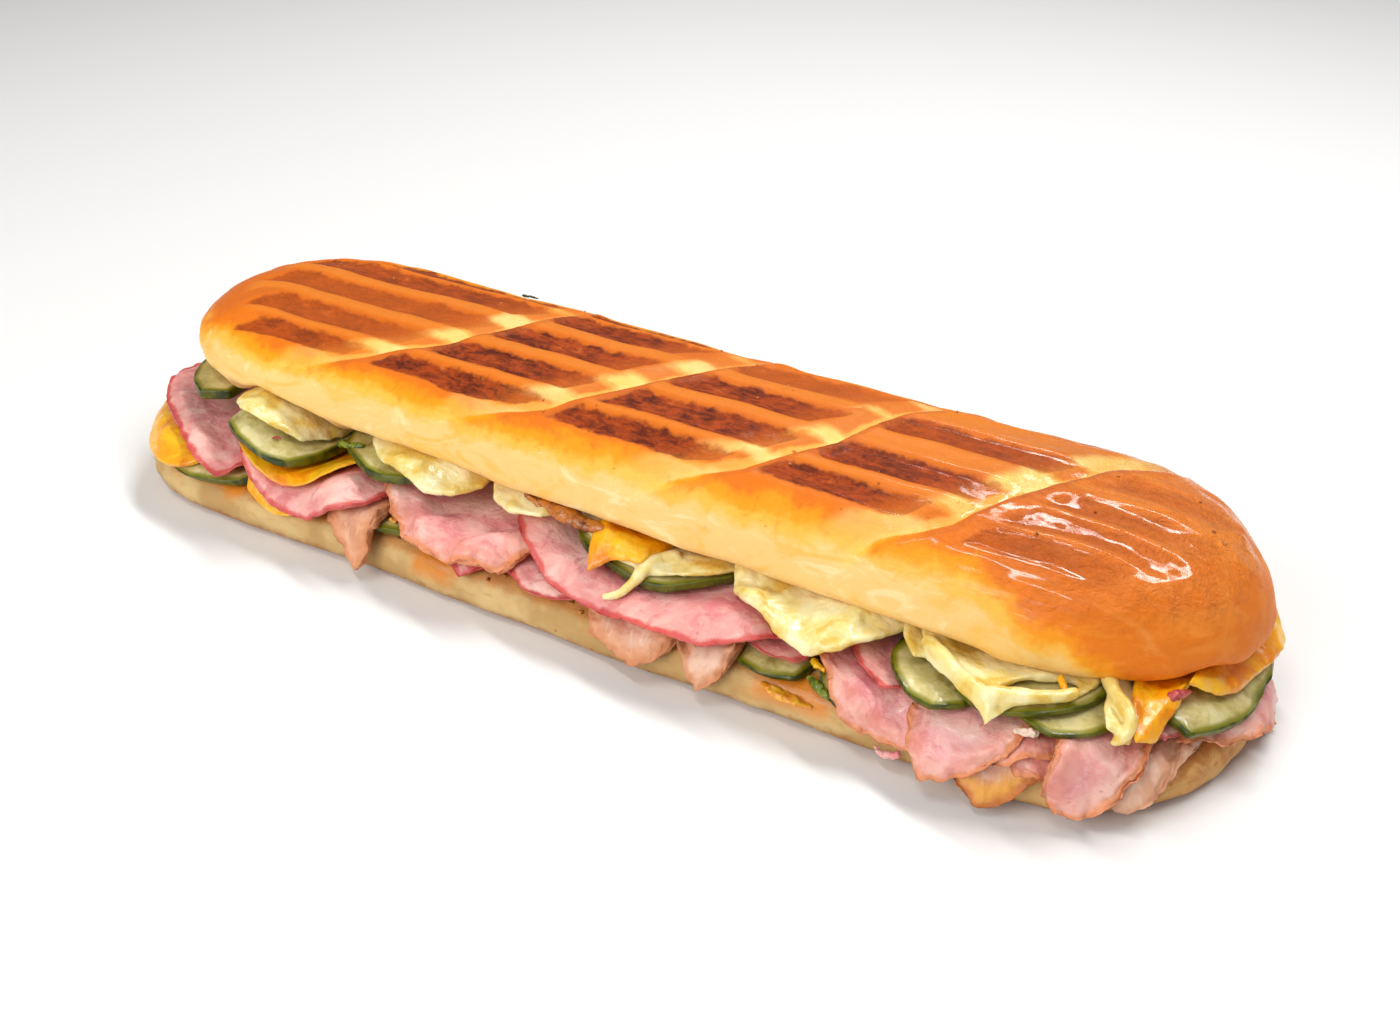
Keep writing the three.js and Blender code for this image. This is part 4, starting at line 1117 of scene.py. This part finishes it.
# name, finish, slot, path, radii, roughness, flatness
BITS = [
    ("fried-skirt", fried_look, "cheddar",
     [(-8, -27.5, 26.4), (-3.5, -28.2, 25.6), (1.5, -28.8, 25), (6.5, -29.3, 25),
      (11, -29.6, 25.8)],
     [0.9, 1.8, 2.0, 1.7, 0.8], 0.22, 0.9),
    ("fried-tip", fried_look, "cheddar",
     [(-12, -27.5, 26.8), (-9, -28, 26), (-6.5, -28.2, 25)],
     [0.5, 1.0, 0.5], 0.25, 1.0),
    ("mustard-dot", mustard_look, None,
     [(-45, -36.4, 14.6), (-44, -36.6, 14.4), (-43, -36.6, 14.2)],
     [0.5, 0.9, 0.4], 0.3, 0.8),
    ("mustard-run", mustard_look, None,
     [(55.5, -40.4, 8.9), (59.5, -41, 8.3), (64, -41.2, 7.6), (67.5, -41, 7.2)],
     [0.6, 1.5, 1.2, 0.4], 0.3, 0.7),
    ("cheddar-shred", cheddar_look, "cheddar",
     [(64.5, -35.5, 14.6), (66.5, -36.8, 14.9), (68.5, -37.6, 14.8)], [0.6, 1.1, 0.5], 0.4, 0.8),
    ("pickle-shred", green_look, "pickle",
     [(-67, -27.5, 24.2), (-62.5, -30.2, 25.9), (-58, -28.6, 26.6)],
     [0.8, 1.4, 0.7], 0.5, 0.8),
    ("pickle-end", green_look, "pickle",
     [(65, -38.2, 12.6), (69, -40.3, 12.2), (72, -41.8, 11.8)],
     [0.7, 1.3, 0.6], 0.25, 1.0),
    ("ham-shred-1", red_look, "ham",
     [(-81.2, -35, 25.3), (-80.1, -34.6, 25.5), (-78.9, -34.3, 25.3)],
     [0.3, 0.6, 0.25], 0.4, 0.8),
    ("ham-shred-2", roasted_ham, "ham",
     [(-45, -29.4, 28.2), (-42.8, -29.7, 28.5), (-40.6, -29.7, 28.2)],
     [0.35, 0.9, 0.3], 0.4, 0.7),
    ("ham-curl", roasted_ham, "ham",
     [(88, -43.4, 5.8), (85.5, -43.2, 4.3), (83, -42.5, 3.6), (81.8, -41.6, 4.2)],
     [0.8, 0.8, 0.6, 0.3], 0.4, 1.0),
    ("ham-red-bit", red_look, "ham",
     [(131.5, -20.8, 21.8), (133, -18.5, 21.6), (134.6, -16.2, 21.4)],
     [0.8, 1.4, 0.7], 0.3, 0.9),
    ("fat-shred", fat_look, "ham",
     [(108.5, -40.2, 18), (111, -40.2, 18.6), (113.5, -38.5, 18.8)],
     [0.5, 1.3, 0.5], 0.55, 0.8),
    ("cheddar-run", cheddar_look, "cheddar",
     [(112.8, -27.5, 23.8), (114.3, -30, 23.9), (115.3, -31.8, 23.3)], [0.8, 0.8, 0.4], 0.3, 1.0),
    ("herb", herb_look, None,
     [(-56, 33.5, 42.1), (-53.5, 33.8, 42.3), (-51, 34, 42)],
     [0.3, 0.7, 0.25], 0.4, 0.5),
]
for name, look, slot, path, radii, rough, flat in BITS:
    deliver(build_bit(name, path, radii, rough, flat), look, slot)
print("bits:", len(BITS))

# %% [markdown]
# Crumbs are the smallest thing on it. They are scattered on the crust and on the cut face of the
# bottom half, at points that a seeded random draw picks, and each lot is joined to one mesh.

# %% Crumbs
CRUMBS_ON_CRUST = 30
CRUMBS_ON_BOTTOM = 50


def scatter_crumbs(name, ground, allowed, count, low, high, seed):
    """Small rough crumbs on some of the allowed points of a piece. Sizes in millimetres."""
    random = np.random.default_rng(seed)
    points = points_of(ground)
    normals = normals_of(ground)
    crumbs = []
    for place in random.choice(np.flatnonzero(allowed), count, replace=False):
        size = random.uniform(low, high)
        bpy.ops.object.select_all(action="DESELECT")
        bpy.ops.mesh.primitive_ico_sphere_add(subdivisions=2, radius=size * MM)
        crumb = bpy.context.active_object
        shape = points_of(crumb)
        rough = 1 + 0.35 * lumps(shape + place * MM, size, seed)
        shape = shape * random.uniform(0.6, 1.2, 3) * rough[:, None]
        move_points(crumb, shape + points[place] + normals[place] * size * 0.3 * MM)
        crumbs.append(crumb)
    select_only(*crumbs)
    bpy.ops.object.join()
    crumbs[0].name = name
    crumbs[0].data.name = name
    return crumbs[0]


crumb_look = bit_finish("crumb", srgb(214, 140, 70), srgb(134, 66, 24), 1.5, 0.7)
high_up = points_of(crust)[:, 2] > 0.9 * CROWN * MM
crust_crumbs = scatter_crumbs("crust_crumbs", crust, high_up, CRUMBS_ON_CRUST, 0.2, 0.4, 61)
deliver(crust_crumbs, crumb_look, "bread")
places = points_of(bottom) / MM
reach = np.hypot(np.maximum(np.abs(places[:, 0]) - SPINE_END, 0), places[:, 1])
on_rim = (places[:, 2] > 0.85 * BASE_TOP) & (reach > 36)
bottom_crumbs = scatter_crumbs("bottom_crumbs", bottom, on_rim, CRUMBS_ON_BOTTOM, 0.25, 0.6, 62)
deliver(bottom_crumbs, crumb_look, "bread")

# %% [markdown]
# ## Stage and light
# The floor is plain and pale. A long narrow light hangs behind the sandwich and gives the glazed
# end its thin bright streaks, and a short one in front of it puts small ones on the near shoulder.
# A wide soft light further in front keeps the fillings clear, and the pale sky fills the shadows.

# %% Floor, lights and sky
SKY_STRENGTH = 0.22

bpy.ops.object.select_all(action="DESELECT")
bpy.ops.mesh.primitive_plane_add(size=4)
floor = bpy.context.active_object
floor.name = "floor"
floor_look = Finish("floor_finish", Roughness=0.6)
floor_look.shader.inputs["Base Color"].default_value = srgb(244, 243, 241)
floor_look.wear(floor)


def soft_light(name, place, aim, size, watts):
    bpy.ops.object.light_add(type="AREA", location=place)
    light = bpy.context.active_object
    light.name = name
    light.rotation_euler = (Vector(aim) - Vector(place)).to_track_quat("-Z", "Y").to_euler()
    light.data.shape = "RECTANGLE"
    light.data.size, light.data.size_y = size
    light.data.energy = watts


soft_light("overhead_light", (0.15, 0.35, 0.75), (0.02, 0, 0.03), (0.9, 0.11), 6)
soft_light("shoulder_light", (-0.03, -0.27, 0.72), (0.09, -0.02, 0.03), (0.4, 0.04), 1)
soft_light("front_light", (-0.25, -0.85, 0.5), (0, 0, 0.02), (0.8, 0.6), 6.5)

sky = bpy.data.worlds.new("sky")
bpy.context.scene.world = sky
sky.use_nodes = True
background = sky.node_tree.nodes["Background"]
background.inputs["Color"].default_value = (1, 1, 1, 1)
background.inputs["Strength"].default_value = SKY_STRENGTH
bpy.context.scene.view_settings.view_transform = "Standard"
